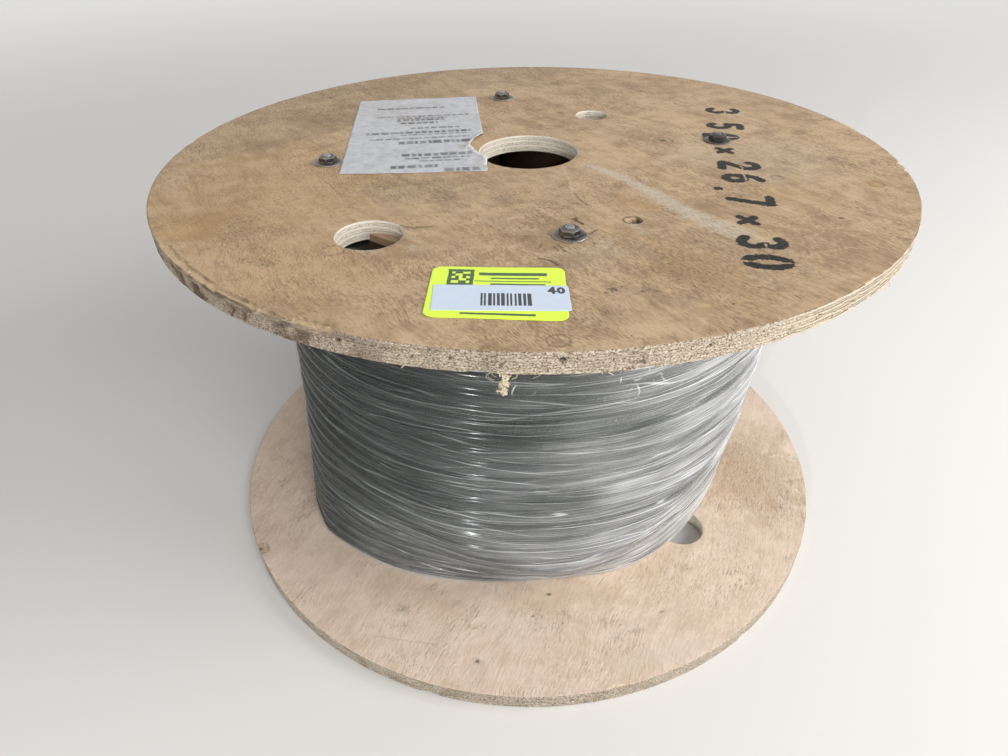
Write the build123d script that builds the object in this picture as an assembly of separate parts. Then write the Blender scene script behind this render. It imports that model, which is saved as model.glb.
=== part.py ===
from build123d import *
import math
import os

# A plywood cable drum that stands on its lower flange, wound with black cable under clear film.
# All sizes are in millimetres. The origin is the centre of the underside, and +Z is the drum's axis.

# The stock size of the drum: flange diameter, clear width between the flanges, barrel diameter
inch = 25.4
flange_diameter = 20.0 * inch
traverse = 10.5 * inch
barrel_diameter = 12.0 * inch

# Flange boards, both cut to one pattern
flange_thickness = 12.0
arbor_bore_diameter = 2.75 * inch
start_hole_diameter = 1.5 * inch
start_hole_from_barrel = 12.6
start_hole_angle = -48.0
drive_hole_diameter = 1.0 * inch
drive_hole_radius = 4.0 * inch
drive_hole_angle = 130.0

# Barrel tube, let into a groove in each flange
barrel_wall = 0.25 * inch
groove_depth = 4.0
groove_clearance = 0.15

# Through bolts, just inside the barrel, with their flat heads let flush into the underside
bolt_count = 4
bolt_diameter = 0.25 * inch
bolt_to_barrel = 1.9
bolt_hole_clearance = 0.4
bolt_head_diameter = 24.0
bolt_head_thickness = 2.4
bolt_seat_clearance = 0.3
bolt_tip_length = 0.5

# Washer and thin hex nut on the upper end of each bolt
washer_diameter = 20.0
washer_thickness = 1.2
washer_clearance = 0.3
nut_across_flats = 0.4375 * inch
nut_height = 0.15625 * inch
thread_clearance = 0.05

# Cable winding: layers of turns, each layer starting one step higher than the one inside it
cable_pitch = 11.5
layer_count = 3
layer_setback = 11.5
turn_bulge = 2.0
winding_fit = 0.2
winding_end_gap = 0.3

# Stretch film round the winding
film_gap = 0.3
film_thickness = 0.5

# Paper label on the upper flange, stuck beside the bore and torn along the edge nearest to it
paper_width = 4.0 * inch
paper_length = 7.0 * inch
paper_thickness = 0.3
paper_from_bolt = (63.2, 57.7)
paper_turn = -3.0
paper_clearance = 1.0
tear_width = 16.0
tear_length = 52.0
tear_below_top = 124.0

# Yellow tag near the upper flange's rim, with a narrower white sticker over it
tag_width = 67.0
tag_height = 50.0
tag_corner = 4.0
tag_thickness = 0.4
tag_from_rim = 50.3
tag_angle = -103.6
tag_turn = -10.4
sticker_width = 66.0
sticker_height = 24.0
sticker_corner = 1.5
sticker_thickness = 0.2
sticker_offset = (2.4, -5.9)

# Sizes that follow from the ones above
barrel_radius = barrel_diameter / 2
barrel_inner_radius = barrel_radius - barrel_wall
lower_face = flange_thickness
upper_face = lower_face + traverse
drum_height = upper_face + flange_thickness
start_hole_radius = barrel_radius + start_hole_from_barrel
bolt_circle_radius = barrel_inner_radius - bolt_to_barrel - bolt_diameter / 2
tag_radius = flange_diameter / 2 - tag_from_rim
winding_bore = barrel_radius + winding_fit
winding_bottom = lower_face + winding_end_gap
winding_top = upper_face - winding_end_gap


def polar(radius, angle):
    # A point at a radius and an angle in degrees about the drum's axis
    turn = math.radians(angle)
    return (radius * math.cos(turn), radius * math.sin(turn))


def bolt_places():
    # The centres of the through bolts
    return [polar(bolt_circle_radius, 360 / bolt_count * i) for i in range(bolt_count)]


def turned(points):
    # A ring turned about the drum's axis from a closed outline of (radius, height) points
    outline = make_face(Polyline(*points, close=True))
    return revolve(Plane.XZ * outline, Axis.Z)


def flange_board():
    # One board as it lies at the bottom: outer face down at height 0, groove in its upper face
    outline = Circle(flange_diameter / 2)
    outline -= Circle(arbor_bore_diameter / 2)
    outline -= Pos(*polar(start_hole_radius, start_hole_angle)) * Circle(start_hole_diameter / 2)
    outline -= Pos(*polar(drive_hole_radius, drive_hole_angle)) * Circle(drive_hole_diameter / 2)
    for place in bolt_places():
        outline -= Pos(*place) * Circle(bolt_diameter / 2 + bolt_hole_clearance)
    board = extrude(outline, flange_thickness)
    groove = Circle(barrel_radius + groove_clearance) - Circle(barrel_inner_radius - groove_clearance)
    return board - Pos(Z=flange_thickness - groove_depth) * extrude(groove, groove_depth)


def bottom_flange():
    # The lower board, with a flush seat under it for each bolt's head
    board = flange_board()
    seat = Circle(bolt_head_diameter / 2 + bolt_seat_clearance)
    for place in bolt_places():
        board -= Pos(*place) * extrude(seat, bolt_head_thickness)
    return board


def top_flange():
    # The upper board is the same board turned over about the Y axis
    return Pos(Z=drum_height) * Rot(Y=180) * flange_board()


def barrel():
    # The tube between the flanges, standing on the floor of both grooves
    ring = Circle(barrel_radius) - Circle(barrel_inner_radius)
    return Pos(Z=lower_face - groove_depth) * extrude(ring, traverse + 2 * groove_depth)


def through_bolt():
    # One bolt on the axis: flat head and shank, the tip standing just out of its nut
    shank = bolt_diameter / 2
    tip = drum_height + washer_thickness + nut_height + bolt_tip_length
    return turned([
        (0, 0),
        (bolt_head_diameter / 2, 0),
        (bolt_head_diameter / 2, bolt_head_thickness),
        (shank, bolt_head_thickness),
        (shank, tip),
        (0, tip),
    ])


def flat_washer():
    ring = Circle(washer_diameter / 2) - Circle(bolt_diameter / 2 + washer_clearance)
    return extrude(ring, washer_thickness)


def hex_nut():
    flats = RegularPolygon(nut_across_flats / 2, 6, major_radius=False)
    return extrude(flats - Circle(bolt_diameter / 2 + thread_clearance), nut_height)


def layer_ends():
    # The inner radius of each layer and the height of its lower end, from the barrel outwards
    return [(winding_bore + cable_pitch * i, winding_bottom + layer_setback * i) for i in range(layer_count)]


def cable_winding():
    # One turned solid. The outer layers stop short of the lower flange, so each layer shows there as
    # a step, and on the upper end each layer shows as a ring with a ridge.
    steps = []
    rings = [(winding_bore, winding_top - turn_bulge)]
    for inside, foot in layer_ends():
        outside = inside + cable_pitch
        steps += [(inside, foot), (outside, foot)]
        rings += [(inside + cable_pitch / 2, winding_top), (outside, winding_top - turn_bulge)]
    return turned(steps + rings[::-1])


def stretch_film():
    # A taut skin: straight down the full layers, then in a cone to the foot of the innermost layer
    first, last = layer_ends()[0], layer_ends()[-1]
    inner = [
        (last[0] + cable_pitch + film_gap, winding_top),
        (last[0] + cable_pitch + film_gap, last[1]),
        (first[0] + cable_pitch + film_gap, winding_bottom),
    ]
    outer = [(radius + film_thickness, height) for radius, height in reversed(inner)]
    return turned(inner + outer)


def paper_label():
    # A sheet placed from the bolt on its left, clear of the bore and of the washers, with a long bite
    # torn from its right edge
    sheet = Rectangle(paper_width, paper_length)
    tear = Ellipse(tear_width, tear_length / 2)
    sheet -= Pos(paper_width / 2, paper_length / 2 - tear_below_top) * tear
    across, up = paper_from_bolt
    sheet = Pos(across - bolt_circle_radius, up) * Rot(Z=paper_turn) * sheet
    sheet -= Circle(arbor_bore_diameter / 2 + paper_clearance)
    for place in bolt_places():
        sheet -= Pos(*place) * Circle(washer_diameter / 2 + paper_clearance)
    return Pos(Z=drum_height) * extrude(sheet, paper_thickness)


def tag_frame(height):
    # The tag's own place on the upper flange, raised by a height
    return Pos(*polar(tag_radius, tag_angle), drum_height + height) * Rot(Z=tag_turn)


def yellow_tag():
    return tag_frame(0) * extrude(RectangleRounded(tag_width, tag_height, tag_corner), tag_thickness)


def white_sticker():
    outline = RectangleRounded(sticker_width, sticker_height, sticker_corner)
    return tag_frame(tag_thickness) * Pos(*sticker_offset) * extrude(outline, sticker_thickness)


def drum_parts():
    # Every piece of the drum by its name
    parts = {
        "bottom_flange": bottom_flange(),
        "top_flange": top_flange(),
        "barrel": barrel(),
        "cable_winding": cable_winding(),
        "stretch_film": stretch_film(),
        "paper_label": paper_label(),
        "yellow_tag": yellow_tag(),
        "white_sticker": white_sticker(),
    }
    bolt = through_bolt()
    washer = flat_washer()
    nut = hex_nut()
    for i, place in enumerate(bolt_places(), 1):
        parts[f"through_bolt_{i}"] = Pos(*place) * bolt
    parts["washers"] = Compound([Pos(*place, drum_height) * washer for place in bolt_places()])
    parts["nuts"] = Compound([Pos(*place, drum_height + washer_thickness) * nut for place in bolt_places()])
    return parts


os.makedirs("parts", exist_ok=True)
for name, part in drum_parts().items():
    export_step(part, f"parts/{name}.step")
    print(f"{name}: {part.volume / 1000:.2f} cm3")
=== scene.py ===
import math
import bpy
import numpy as np
from mathutils import Matrix, Vector
from mathutils.geometry import delaunay_2d_cdt


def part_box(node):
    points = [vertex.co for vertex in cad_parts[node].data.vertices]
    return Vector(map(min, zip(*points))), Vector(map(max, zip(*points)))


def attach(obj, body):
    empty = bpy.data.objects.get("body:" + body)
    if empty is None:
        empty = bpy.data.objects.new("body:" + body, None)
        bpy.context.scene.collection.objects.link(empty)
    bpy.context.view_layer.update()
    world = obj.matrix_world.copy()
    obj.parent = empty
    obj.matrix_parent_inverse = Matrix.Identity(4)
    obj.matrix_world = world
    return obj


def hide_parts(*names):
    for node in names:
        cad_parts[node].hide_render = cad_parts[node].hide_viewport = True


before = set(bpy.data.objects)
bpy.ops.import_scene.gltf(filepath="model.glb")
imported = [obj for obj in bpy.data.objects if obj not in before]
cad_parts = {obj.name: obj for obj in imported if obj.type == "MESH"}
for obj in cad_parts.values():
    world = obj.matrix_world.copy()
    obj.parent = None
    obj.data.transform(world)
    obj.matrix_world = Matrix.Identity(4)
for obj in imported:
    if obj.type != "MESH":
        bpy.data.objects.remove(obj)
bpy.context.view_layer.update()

# Shapes are worked out in millimetres about the drum's axis and turned to metres when a mesh is made
mm = 0.001
lowerLow, lowerHigh = [corner * 1000 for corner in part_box("bottom_flange")]
upperLow, upperHigh = [corner * 1000 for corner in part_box("top_flange")]
flangeRadius = upperHigh.x
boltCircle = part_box("through_bolt_1")[0].x * 500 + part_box("through_bolt_1")[1].x * 500
boltPlaces = [(boltCircle, 0), (0, boltCircle), (-boltCircle, 0), (0, -boltCircle)]
print("cable drum: frame loaded")


def ease(low, high, value):
    # 0 below low, 1 above high, smooth between
    t = np.clip((value - low) / (high - low), 0, 1)
    return t * t * (3 - 2 * t)


def fade(low, high, value):
    return 1 - ease(low, high, value)


def lattice(ix, iy, iz, seed):
    n = (ix * 374761393 + iy * 668265263 + iz * 1442695041 + seed * 1274126177) & 0xFFFFFFFF
    n = ((n ^ (n >> 13)) * 1274126177) & 0xFFFFFFFF
    return (n ^ (n >> 16)) / 0xFFFFFFFF * 2 - 1


def bumps(x, y, z=0.0, seed=0):
    # Smooth random bumps from -1 to 1, one to each unit of x, y and z
    place = np.broadcast_arrays(*[np.asarray(v, float) for v in (x, y, z)])
    cell = [np.floor(v).astype(np.int64) for v in place]
    part = [v - c for v, c in zip(place, cell)]
    part = [p * p * (3 - 2 * p) for p in part]
    total = 0
    for corner in np.ndindex(2, 2, 2):
        weight = 1
        for p, d in zip(part, corner):
            weight = weight * (p if d else 1 - p)
        total = total + weight * lattice(*[c + d for c, d in zip(cell, corner)], seed)
    return total


def ringBumps(angle, span, z, seed):
    # Smooth bumps round the drum, one to each span of degrees, that meet themselves after a full turn
    turn, reach = np.radians(angle), math.degrees(1) / span
    return bumps(np.cos(turn) * reach, np.sin(turn) * reach, z, seed)


def turnGap(angle, at):
    # How far an angle lies past another one, from -180 to 180 degrees
    return (angle - at + 180) % 360 - 180


def local(x, y, place, ahead):
    # Distances from a place, along and across a direction given in degrees or as a pair
    turn = math.radians(ahead) if np.isscalar(ahead) else 0
    c, s = (math.cos(turn), math.sin(turn)) if np.isscalar(ahead) else ahead
    dx, dy = x - place[0], y - place[1]
    return dx * c + dy * s, dy * c - dx * s


def circle(count, radius, centre=(0, 0), z=None):
    turn = np.arange(count) * 2 * math.pi / count
    flat = [centre[0] + radius * np.cos(turn), centre[1] + radius * np.sin(turn)]
    return np.stack(flat + ([] if z is None else [np.full(count, float(z))]), 1)


def turnedPoints(profile, count, centre=(0, 0), base=0.0):
    # Rings of points, one for each (radius, height). A radius can also be a list with one for each point.
    return np.concatenate([circle(count, radius, centre, base + z) for radius, z in profile])


def loopFaces(rows, columns, start=0, loop=True, flip=False):
    # Quads between rows of points. They face out where the rows climb and the columns go round to the left.
    across = np.arange(columns if loop else columns - 1)
    first = start + np.arange(rows - 1)[:, None] * columns
    a, b = first + across, first + (across + 1) % columns
    quads = np.stack([a, b, b + columns, a + columns], -1).reshape(-1, 4)
    return quads[:, ::-1] if flip else quads


def flatTriangles(flat, edges, outlines):
    # Triangles over flat points, all turned up, and the area of each
    found = delaunay_2d_cdt([Vector(p) for p in flat.tolist()], edges, outlines, 1, 1e-7)
    source = np.array([o[0] for o in found[3]])
    triangles = source[np.array(found[2])]
    a, b, c = [flat[triangles[:, i]] for i in range(3)]
    area = (b - a)[:, 0] * (c - a)[:, 1] - (b - a)[:, 1] * (c - a)[:, 0]
    triangles[area < 0] = triangles[area < 0][:, ::-1]
    return triangles, area


def hexGrid(spacing, reach, seed):
    # Points at an even spacing, each moved a little at random
    rng = np.random.default_rng(seed)
    rise = spacing * math.sqrt(0.75)
    rows = np.arange(-reach, reach + rise, rise)
    x, y = np.meshgrid(np.arange(-reach, reach + spacing, spacing), rows)
    x = x + (np.arange(len(rows)) % 2)[:, None] * spacing / 2
    spots = np.stack([x.ravel(), y.ravel()], 1)
    return spots + rng.uniform(-0.22, 0.22, spots.shape) * spacing


def blobs(x, y, places, seed=0):
    # Soft stains, each (x, y, half length, half width, angle, strength)
    total = np.zeros_like(x)
    ragged = 0.35 * bumps(x / 3, y / 3, 0, seed) + 0.35 * bumps(x / 9, y / 9, 5, seed)
    for px, py, length, width, angle, strength in places:
        u, v = local(x, y, (px, py), angle)
        total = np.maximum(total, strength * fade(0.35, 1.35, np.hypot(u / length, v / width) + ragged))
    return total


def alongLine(x, y, line):
    # The distance to a line of points, and how far along it the nearest point is, 0 to 1
    line = np.asarray(line, float)
    best, part = np.full(x.shape, 1e9), np.zeros(x.shape)
    for i in range(len(line) - 1):
        (ax, ay), (bx, by) = line[i], line[i + 1]
        size = (bx - ax) ** 2 + (by - ay) ** 2 + 1e-12
        t = np.clip(((x - ax) * (bx - ax) + (y - ay) * (by - ay)) / size, 0, 1)
        gap = np.hypot(x - ax - t * (bx - ax), y - ay - t * (by - ay))
        nearer = gap < best
        best, part = np.where(nearer, gap, best), np.where(nearer, (i + t) / (len(line) - 1), part)
    return best, part


def makePiece(name, points, faces, materials, replaced, marks=None, kinds=None, smooth=True):
    # One mesh object in metres, with its materials, its named values at the points and its place in the frame
    mesh = bpy.data.meshes.new(name)
    mesh.from_pydata((np.asarray(points, float) * mm).tolist(), [], [list(map(int, f)) for f in faces])
    for material in materials:
        mesh.materials.append(material)
    if kinds is not None:
        mesh.polygons.foreach_set("material_index", np.asarray(kinds, np.int32))
    mesh.polygons.foreach_set("use_smooth", np.full(len(mesh.polygons), smooth))
    for label, values in (marks or {}).items():
        layer = mesh.attributes.new(label, "FLOAT_COLOR", "POINT")
        colour = np.ones((len(mesh.vertices), 4), np.float32)
        for channel, value in enumerate(values):
            colour[:, channel] = value
        layer.data.foreach_set("color", colour.ravel())
    mesh.update()
    piece = bpy.data.objects.new(name, mesh)
    bpy.context.collection.objects.link(piece)
    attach(piece, "root")
    if replaced:
        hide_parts(replaced)
    print("cable drum:", name, len(faces), "faces")


class Signal:
    # A value inside a shader. A sum on it makes a Math node.
    def __init__(self, socket):
        self.socket = socket

    def __add__(self, other):
        return calc("ADD", self, other)

    def __radd__(self, other):
        return calc("ADD", other, self)

    def __sub__(self, other):
        return calc("SUBTRACT", self, other)

    def __rsub__(self, other):
        return calc("SUBTRACT", other, self)

    def __mul__(self, other):
        return calc("MULTIPLY", self, other)

    def __truediv__(self, other):
        return calc("DIVIDE", self, other)

    def __abs__(self):
        return calc("ABSOLUTE", self)


def feed(socket, value):
    if isinstance(value, Signal):
        socket.id_data.links.new(value.socket, socket)
    else:
        socket.default_value = value


def put(tree, kind, output, inputs=None, **settings):
    # Adds a node to a tree and returns one of its outputs
    node = tree.nodes.new("ShaderNode" + kind)
    for key, value in settings.items():
        setattr(node, key, value)
    for key, value in (inputs or {}).items():
        feed(node.inputs[key], value)
    return Signal(node.outputs[output])


def join(kind, output, inputs, **settings):
    # Adds a node to the tree that its inputs come from
    tree = next(value.socket.id_data for value in inputs.values() if isinstance(value, Signal))
    return put(tree, kind, output, inputs, **settings)


def calc(operation, a, b=0.0, clamp=False):
    return join("Math", 0, {0: a, 1: b}, operation=operation, use_clamp=clamp)


def vector(operation, a, b, output=0):
    return join("VectorMath", output, {0: a, 1: b}, operation=operation)


def blend(amount, a, b, mode="MIX"):
    return join("Mix", 2, {0: amount, 6: a, 7: b}, data_type="RGBA", blend_type=mode, clamp_factor=True)


def remap(value, low, high, newLow=0.0, newHigh=1.0):
    limits = {"Value": value, "From Min": low, "From Max": high, "To Min": newLow, "To Max": newHigh}
    return join("MapRange", "Result", limits, interpolation_type="SMOOTHSTEP")


def position(tree):
    return put(tree, "TexCoord", "Object")


def noise(place, stretch, detail=3.0, roughness=0.55):
    # Noise drawn out along an axis: stretch is how many features there are to a metre on each axis
    scaled = vector("MULTIPLY", place, stretch if isinstance(stretch, tuple) else (stretch,) * 3)
    return join("TexNoise", "Fac", {"Vector": scaled, "Scale": 1.0, "Detail": detail, "Roughness": roughness})


def bump(height, strength, distance):
    return join("Bump", "Normal", {"Height": height, "Strength": strength, "Distance": distance})


def pointValues(tree, name):
    # The three values that makePiece stored at the points under this name
    stored = put(tree, "Attribute", "Color", attribute_name=name)
    return [Signal(output) for output in join("SeparateColor", 0, {0: stored}).socket.node.outputs]


def makeGroup(name, inputs, outputs, build):
    # An effect that several materials share: build gets its inputs in order and returns its outputs
    group = bpy.data.node_groups.new(name, "ShaderNodeTree")
    for label, value in inputs.items():
        kind = "NodeSocketColor" if isinstance(value, tuple) else "NodeSocketFloat"
        group.interface.new_socket(name=label, in_out="INPUT", socket_type=kind).default_value = value
    for label in outputs:
        kind = "NodeSocketColor" if label == "Color" else "NodeSocketFloat"
        group.interface.new_socket(name=label, in_out="OUTPUT", socket_type=kind)
    given = group.nodes.new("NodeGroupInput").outputs
    result = group.nodes.new("NodeGroupOutput").inputs
    for label, value in zip(outputs, build(group, *[Signal(given[label]) for label in inputs])):
        feed(result[label], value)
    return group


def useGroup(tree, group, *values):
    # Adds a shared effect with its inputs in order and returns its outputs
    node = tree.nodes.new("ShaderNodeGroup")
    node.node_tree = group
    for socket, value in zip(node.inputs, values):
        feed(socket, value)
    return [Signal(output) for output in node.outputs]


def makeMaterial(name, build, *given):
    # build gets the tree and what is given, and returns what goes into each socket of the surface
    material = bpy.data.materials.new(name)
    material.use_nodes = True
    tree = material.node_tree
    tree.nodes.clear()
    surface = tree.nodes.new("ShaderNodeBsdfPrincipled")
    output = tree.nodes.new("ShaderNodeOutputMaterial")
    tree.links.new(surface.outputs[0], output.inputs[0])
    for label, value in build(tree, *given).items():
        feed(surface.inputs[label], value)
    return material


def woodNodes(tree, angle, light, dark, contrast, fleckAmount):
    # Veneer: broad figure, fine streaks along the grain, short dark pore flecks and blotches
    place = position(tree)
    drift = put(tree, "TexNoise", "Color", {"Vector": place, "Scale": 11.0, "Detail": 3.0})
    drift = vector("MULTIPLY", vector("SUBTRACT", drift, (0.5, 0.5, 0.5)), (0.03, 0.03, 0.0))
    wavy = vector("ADD", place, drift)
    turned = put(tree, "VectorRotate", 0, {"Vector": wavy, "Angle": angle}, rotation_type="Z_AXIS")
    rings = calc("SINE", noise(turned, (2.6, 13.0, 13.0), 3.0, 0.5) * 80.0)
    streaks = noise(turned, (80.0, 480.0, 480.0), 3.0, 0.6)
    longStreaks = noise(turned, (18.0, 150.0, 150.0), 3.0, 0.6)
    fine = noise(turned, (330.0, 1300.0, 1300.0), 2.0, 0.6)
    where = remap(noise(place, (26.0, 34.0, 30.0), 4.0, 0.6), 0.45, 0.62)
    strokes = remap(noise(turned, (130.0, 620.0, 620.0), 2.0, 0.55), 0.58, 0.66)
    flecks = calc("MAXIMUM", remap(fine, 0.62, 0.68), strokes * 0.55) * where
    blotches = noise(wavy, 15.0, 5.0, 0.62)
    smears = noise(wavy, (55.0, 75.0, 75.0), 4.0, 0.65)
    # the fine grain is strong in some places and faint in others
    calm = remap(noise(wavy, (10.0, 14.0, 14.0), 3.0), 0.40, 0.60, 0.35, 1.0)
    grain = 0.5 + (fine - 0.5) * calm
    tone = 0.45
    # each pattern with how much it darkens or lightens the wood
    for pattern, weight in ((streaks, 1.0), (longStreaks, 0.8), (blotches, 1.5), (smears, 1.5), (grain, 2.7)):
        tone = tone + (pattern - 0.5) * weight * contrast
    colour = blend(calc("ADD", tone, rings * 0.05, clamp=True), light, dark)
    colour = blend(flecks * fleckAmount, colour, (0.13, 0.085, 0.05, 1))
    return colour, streaks + fine * 0.8 - flecks, remap(fine, 0.50, 0.64)


woodFigure = makeGroup("woodFigure", {
    "Grain Angle": 0.0, "Light Wood": (0.6, 0.45, 0.3, 1), "Dark Wood": (0.35, 0.24, 0.14, 1), "Contrast": 1.0,
    "Fleck Amount": 0.5}, ("Color", "Height", "Pores"), woodNodes)


def plyNodes(tree, base, thickness, clean, longGrain, endGrain, glueAmount):
    # The cut edge of plywood. A clean cut shows the plies by height, a rough one a speckle over all of them.
    place = position(tree)
    height = put(tree, "SeparateXYZ", "Z", {0: place})
    level = (height - base) / thickness + (noise(place, 30.0, 2.0) - 0.5) * 0.5
    odd = calc("MODULO", calc("FLOOR", level), 2.0)
    streaks = noise(place, (60.0, 60.0, 1500.0), 4.0, 0.65)
    speckle = noise(place, (1000.0, 1000.0, 1300.0), 3.0, 0.62)
    pores = remap(speckle, 0.53, 0.62)
    light = remap(speckle, 0.47, 0.38)
    glue = remap(abs(calc("FRACT", level) - 0.5), 0.35, 0.46)
    glueLine = glue * remap(streaks, 0.36, 0.54, 0.45, 1.0)
    lit = blend(remap(streaks, 0.35, 0.65), longGrain, blend(0.4, longGrain, endGrain))
    plies = blend(odd, lit, blend(pores * 0.5, endGrain, (0.16, 0.12, 0.085, 1)))
    plies = blend(glueLine * glueAmount, plies, (0.12, 0.085, 0.055, 1))
    rough = blend(pores * 0.9, endGrain, (0.15, 0.11, 0.08, 1))
    rough = blend(light * 0.9, rough, (0.84, 0.76, 0.63, 1))
    rough = blend(remap(speckle, 0.36, 0.31), rough, (0.95, 0.92, 0.85, 1))
    rough = blend(glueLine * 0.22, rough, (0.15, 0.11, 0.08, 1))
    cut = remap(clean + (speckle - 0.5) * 1.2, 0.25, 0.75)
    return blend(cut, rough, plies), streaks + speckle - pores * 0.7 - glue * 0.5


plyLayers = makeGroup("plyLayers", {
    "Base Height": 0.0, "Ply Thickness": 0.0017, "Clean": 0.5, "Long Grain": (0.7, 0.55, 0.38, 1),
    "End Grain": (0.45, 0.32, 0.2, 1), "Glue Line": 0.5}, ("Color", "Height"), plyNodes)


def grimeNodes(tree, patchSize, amount, speckAmount):
    # Soft dirt: cloudy patches broken up by fine specks
    place = position(tree)
    cloud = put(tree, "TexNoise", "Fac", {"Vector": place, "Scale": patchSize, "Detail": 6.0, "Roughness": 0.65})
    fine = noise(place, 1400.0, 3.0, 0.7)
    specks = remap(fine, 0.6, 0.7) * speckAmount
    return calc("ADD", remap(cloud, 0.42, 0.68) * amount, specks, clamp=True), fine


grime = makeGroup("grime", {"Patch Size": 40.0, "Amount": 0.5, "Speck Amount": 0.3}, ("Mask", "Fine"), grimeNodes)


def fibreNodes(tree, tint, mottleAmount):
    # Paper: a faint mottle and tangled fibres
    place = position(tree)
    mottle = noise(place, 180.0, 5.0, 0.7)
    amount = remap(mottle, 0.3, 0.75) * mottleAmount
    shade = blend(1.0, tint, (0.55, 0.52, 0.48, 1), "MULTIPLY")
    return blend(amount, tint, shade), noise(place, (2200.0, 500.0, 900.0), 3.0, 0.6) + mottle


paperFibre = makeGroup("paperFibre", {"Tint": (0.8, 0.8, 0.8, 1), "Mottle": 0.2}, ("Color", "Height"), fibreNodes)
print("cable drum: shared effects made")

cameraSetup = {"place": (-82.45, -487.71, 457.34), "yaw": 0.1282, "pitch": 0.6418, "roll": -0.0127, "lens": 24.70}


def placeCamera(setup):
    yaw, pitch, roll = setup["yaw"], setup["pitch"], setup["roll"]
    ahead = Vector((math.sin(yaw) * math.cos(pitch), math.cos(yaw) * math.cos(pitch), -math.sin(pitch)))
    level = Vector((math.cos(yaw), -math.sin(yaw), 0))
    above = level.cross(ahead)
    right = math.cos(roll) * level + math.sin(roll) * above
    above = math.cos(roll) * above - math.sin(roll) * level
    data = bpy.data.cameras.new("photoCamera")
    data.lens, data.sensor_width = setup["lens"], 36.0
    data.clip_start, data.clip_end = 0.01, 100.0
    camera = bpy.data.objects.new("photoCamera", data)
    turned = Matrix((right, above, -ahead)).transposed().to_4x4()
    camera.matrix_world = Matrix.Translation(Vector(setup["place"]) * mm) @ turned
    bpy.context.collection.objects.link(camera)
    bpy.context.scene.camera = camera


lightSetup = {
    "world": 0.27, "seenWorld": 0.95,
    # name: (place in metres, aimed at, size, watts, colour)
    "lamps": {
        "rightSoftbox": ((1.9, -0.65, 1.15), (0.05, 0, 0.15), (1.3, 1.1), 36.0, (1.0, 0.99, 0.97)),
        "frontSoftbox": ((0.85, -2.0, 1.5), (0, -0.1, 0.1), (1.2, 1.0), 29.0, (1.0, 0.99, 0.97)),
        "overheadSoftbox": ((-0.2, 0.5, 2.2), (0, 0, 0.25), (2.0, 2.0), 6.5, (1.0, 0.98, 0.95)),
        "leftStrip": ((-1.12, -1.88, 0.60), (-0.06, -0.18, 0.15), (0.035, 0.12), 14.0, (0.97, 0.99, 1.0)),
    },
    "floor": (0.80, 0.79, 0.77, 1),
    "backdropGlow": 0.42,
    "floorReach": 14,  # metres
}


def makeLamps(lamps):
    for name, (place, target, size, watts, colour) in lamps.items():
        data = bpy.data.lights.new(name, "AREA")
        data.shape, data.size, data.size_y = "RECTANGLE", size[0], size[1]
        data.energy, data.color = watts, colour
        lamp = bpy.data.objects.new(name, data)
        lamp.location = place
        lamp.rotation_euler = (Vector(target) - Vector(place)).to_track_quat("-Z", "Y").to_euler()
        bpy.context.collection.objects.link(lamp)


def makeWorld(strength, seenStrength):
    # The sky lights the drum softly and looks brighter where it is seen or mirrored
    world = bpy.data.worlds.new("studio")
    bpy.context.scene.world = world
    world.use_nodes = True
    tree = world.node_tree
    tree.nodes.clear()
    rays = put(tree, "LightPath", 0).socket.node.outputs
    camera, glossy, through = [Signal(rays["Is %s Ray" % kind]) for kind in ("Camera", "Glossy", "Transmission")]
    seen = calc("MAXIMUM", camera, calc("MAXIMUM", glossy, through))
    sky = join("Background", 0, {"Color": (1, 1, 1, 1), "Strength": remap(seen, 0.0, 1.0, strength, seenStrength)})
    feed(tree.nodes.new("ShaderNodeOutputWorld").inputs[0], sky)


def floorNodes(tree, colour, backdropGlow):
    mask, _ = useGroup(tree, grime, 1.5, 0.06, 0.0)
    # far from the drum the floor turns into a plain pale backdrop, for the camera only
    away = join("VectorMath", "Value", {0: position(tree)}, operation="LENGTH")
    glow = remap(away, 0.5, 3.5) * put(tree, "LightPath", "Is Camera Ray") * backdropGlow
    return {"Base Color": blend(mask, colour, (0.7, 0.69, 0.67, 1)), "Roughness": 0.85,
            "Emission Color": blend(glow, (0, 0, 0, 1), (1, 1, 1, 1)), "Emission Strength": 1.0}


def makeFloor(setup):
    reach, z = setup["floorReach"], -0.0002
    mesh = bpy.data.meshes.new("studioFloor")
    mesh.from_pydata([(-reach, -reach, z), (reach, -reach, z), (reach, reach, z), (-reach, reach, z)], [],
                     [(0, 1, 2, 3)])
    mesh.materials.append(makeMaterial("studioFloor", floorNodes, setup["floor"], setup["backdropGlow"]))
    floor = bpy.data.objects.new("studioFloor", mesh)
    bpy.context.collection.objects.link(floor)


placeCamera(cameraSetup)
makeLamps(lightSetup["lamps"])
makeWorld(lightSetup["world"], lightSetup["seenWorld"])
makeFloor(lightSetup)
bpy.context.scene.view_settings.view_transform = "Standard"
print("cable drum: camera, floor and light set")

sharedBoard = {
    # bore, drive hole and start hole: (x, y, radius, points round it)
    "holes": [(0, 0, 34.925, 220), (65.31, 77.83, 12.7, 120), (-110.41, -122.62, 19.05, 120)],
    "boltHole": 3.575,
    "boltSeat": (12.3, 2.4),
    "plies": 7, "thick": 12.0,  # all plies together
    "rimMargin": 8.0, "holeMargin": 0.45,  # how far loose points stay from the rim and from holes
    "trim": 0.15,  # how far inside the solid's rim the rim lies
    # rings of points near the rim of the upper face: (how far in, how many)
    "rimRings": [(1.1, 1440), (1.8, 1300), (2.5, 1200), (3.2, 1100), (3.9, 1100), (4.6, 1100), (5.2, 1100),
                 (5.8, 900), (6.7, 700)],
}

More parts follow.
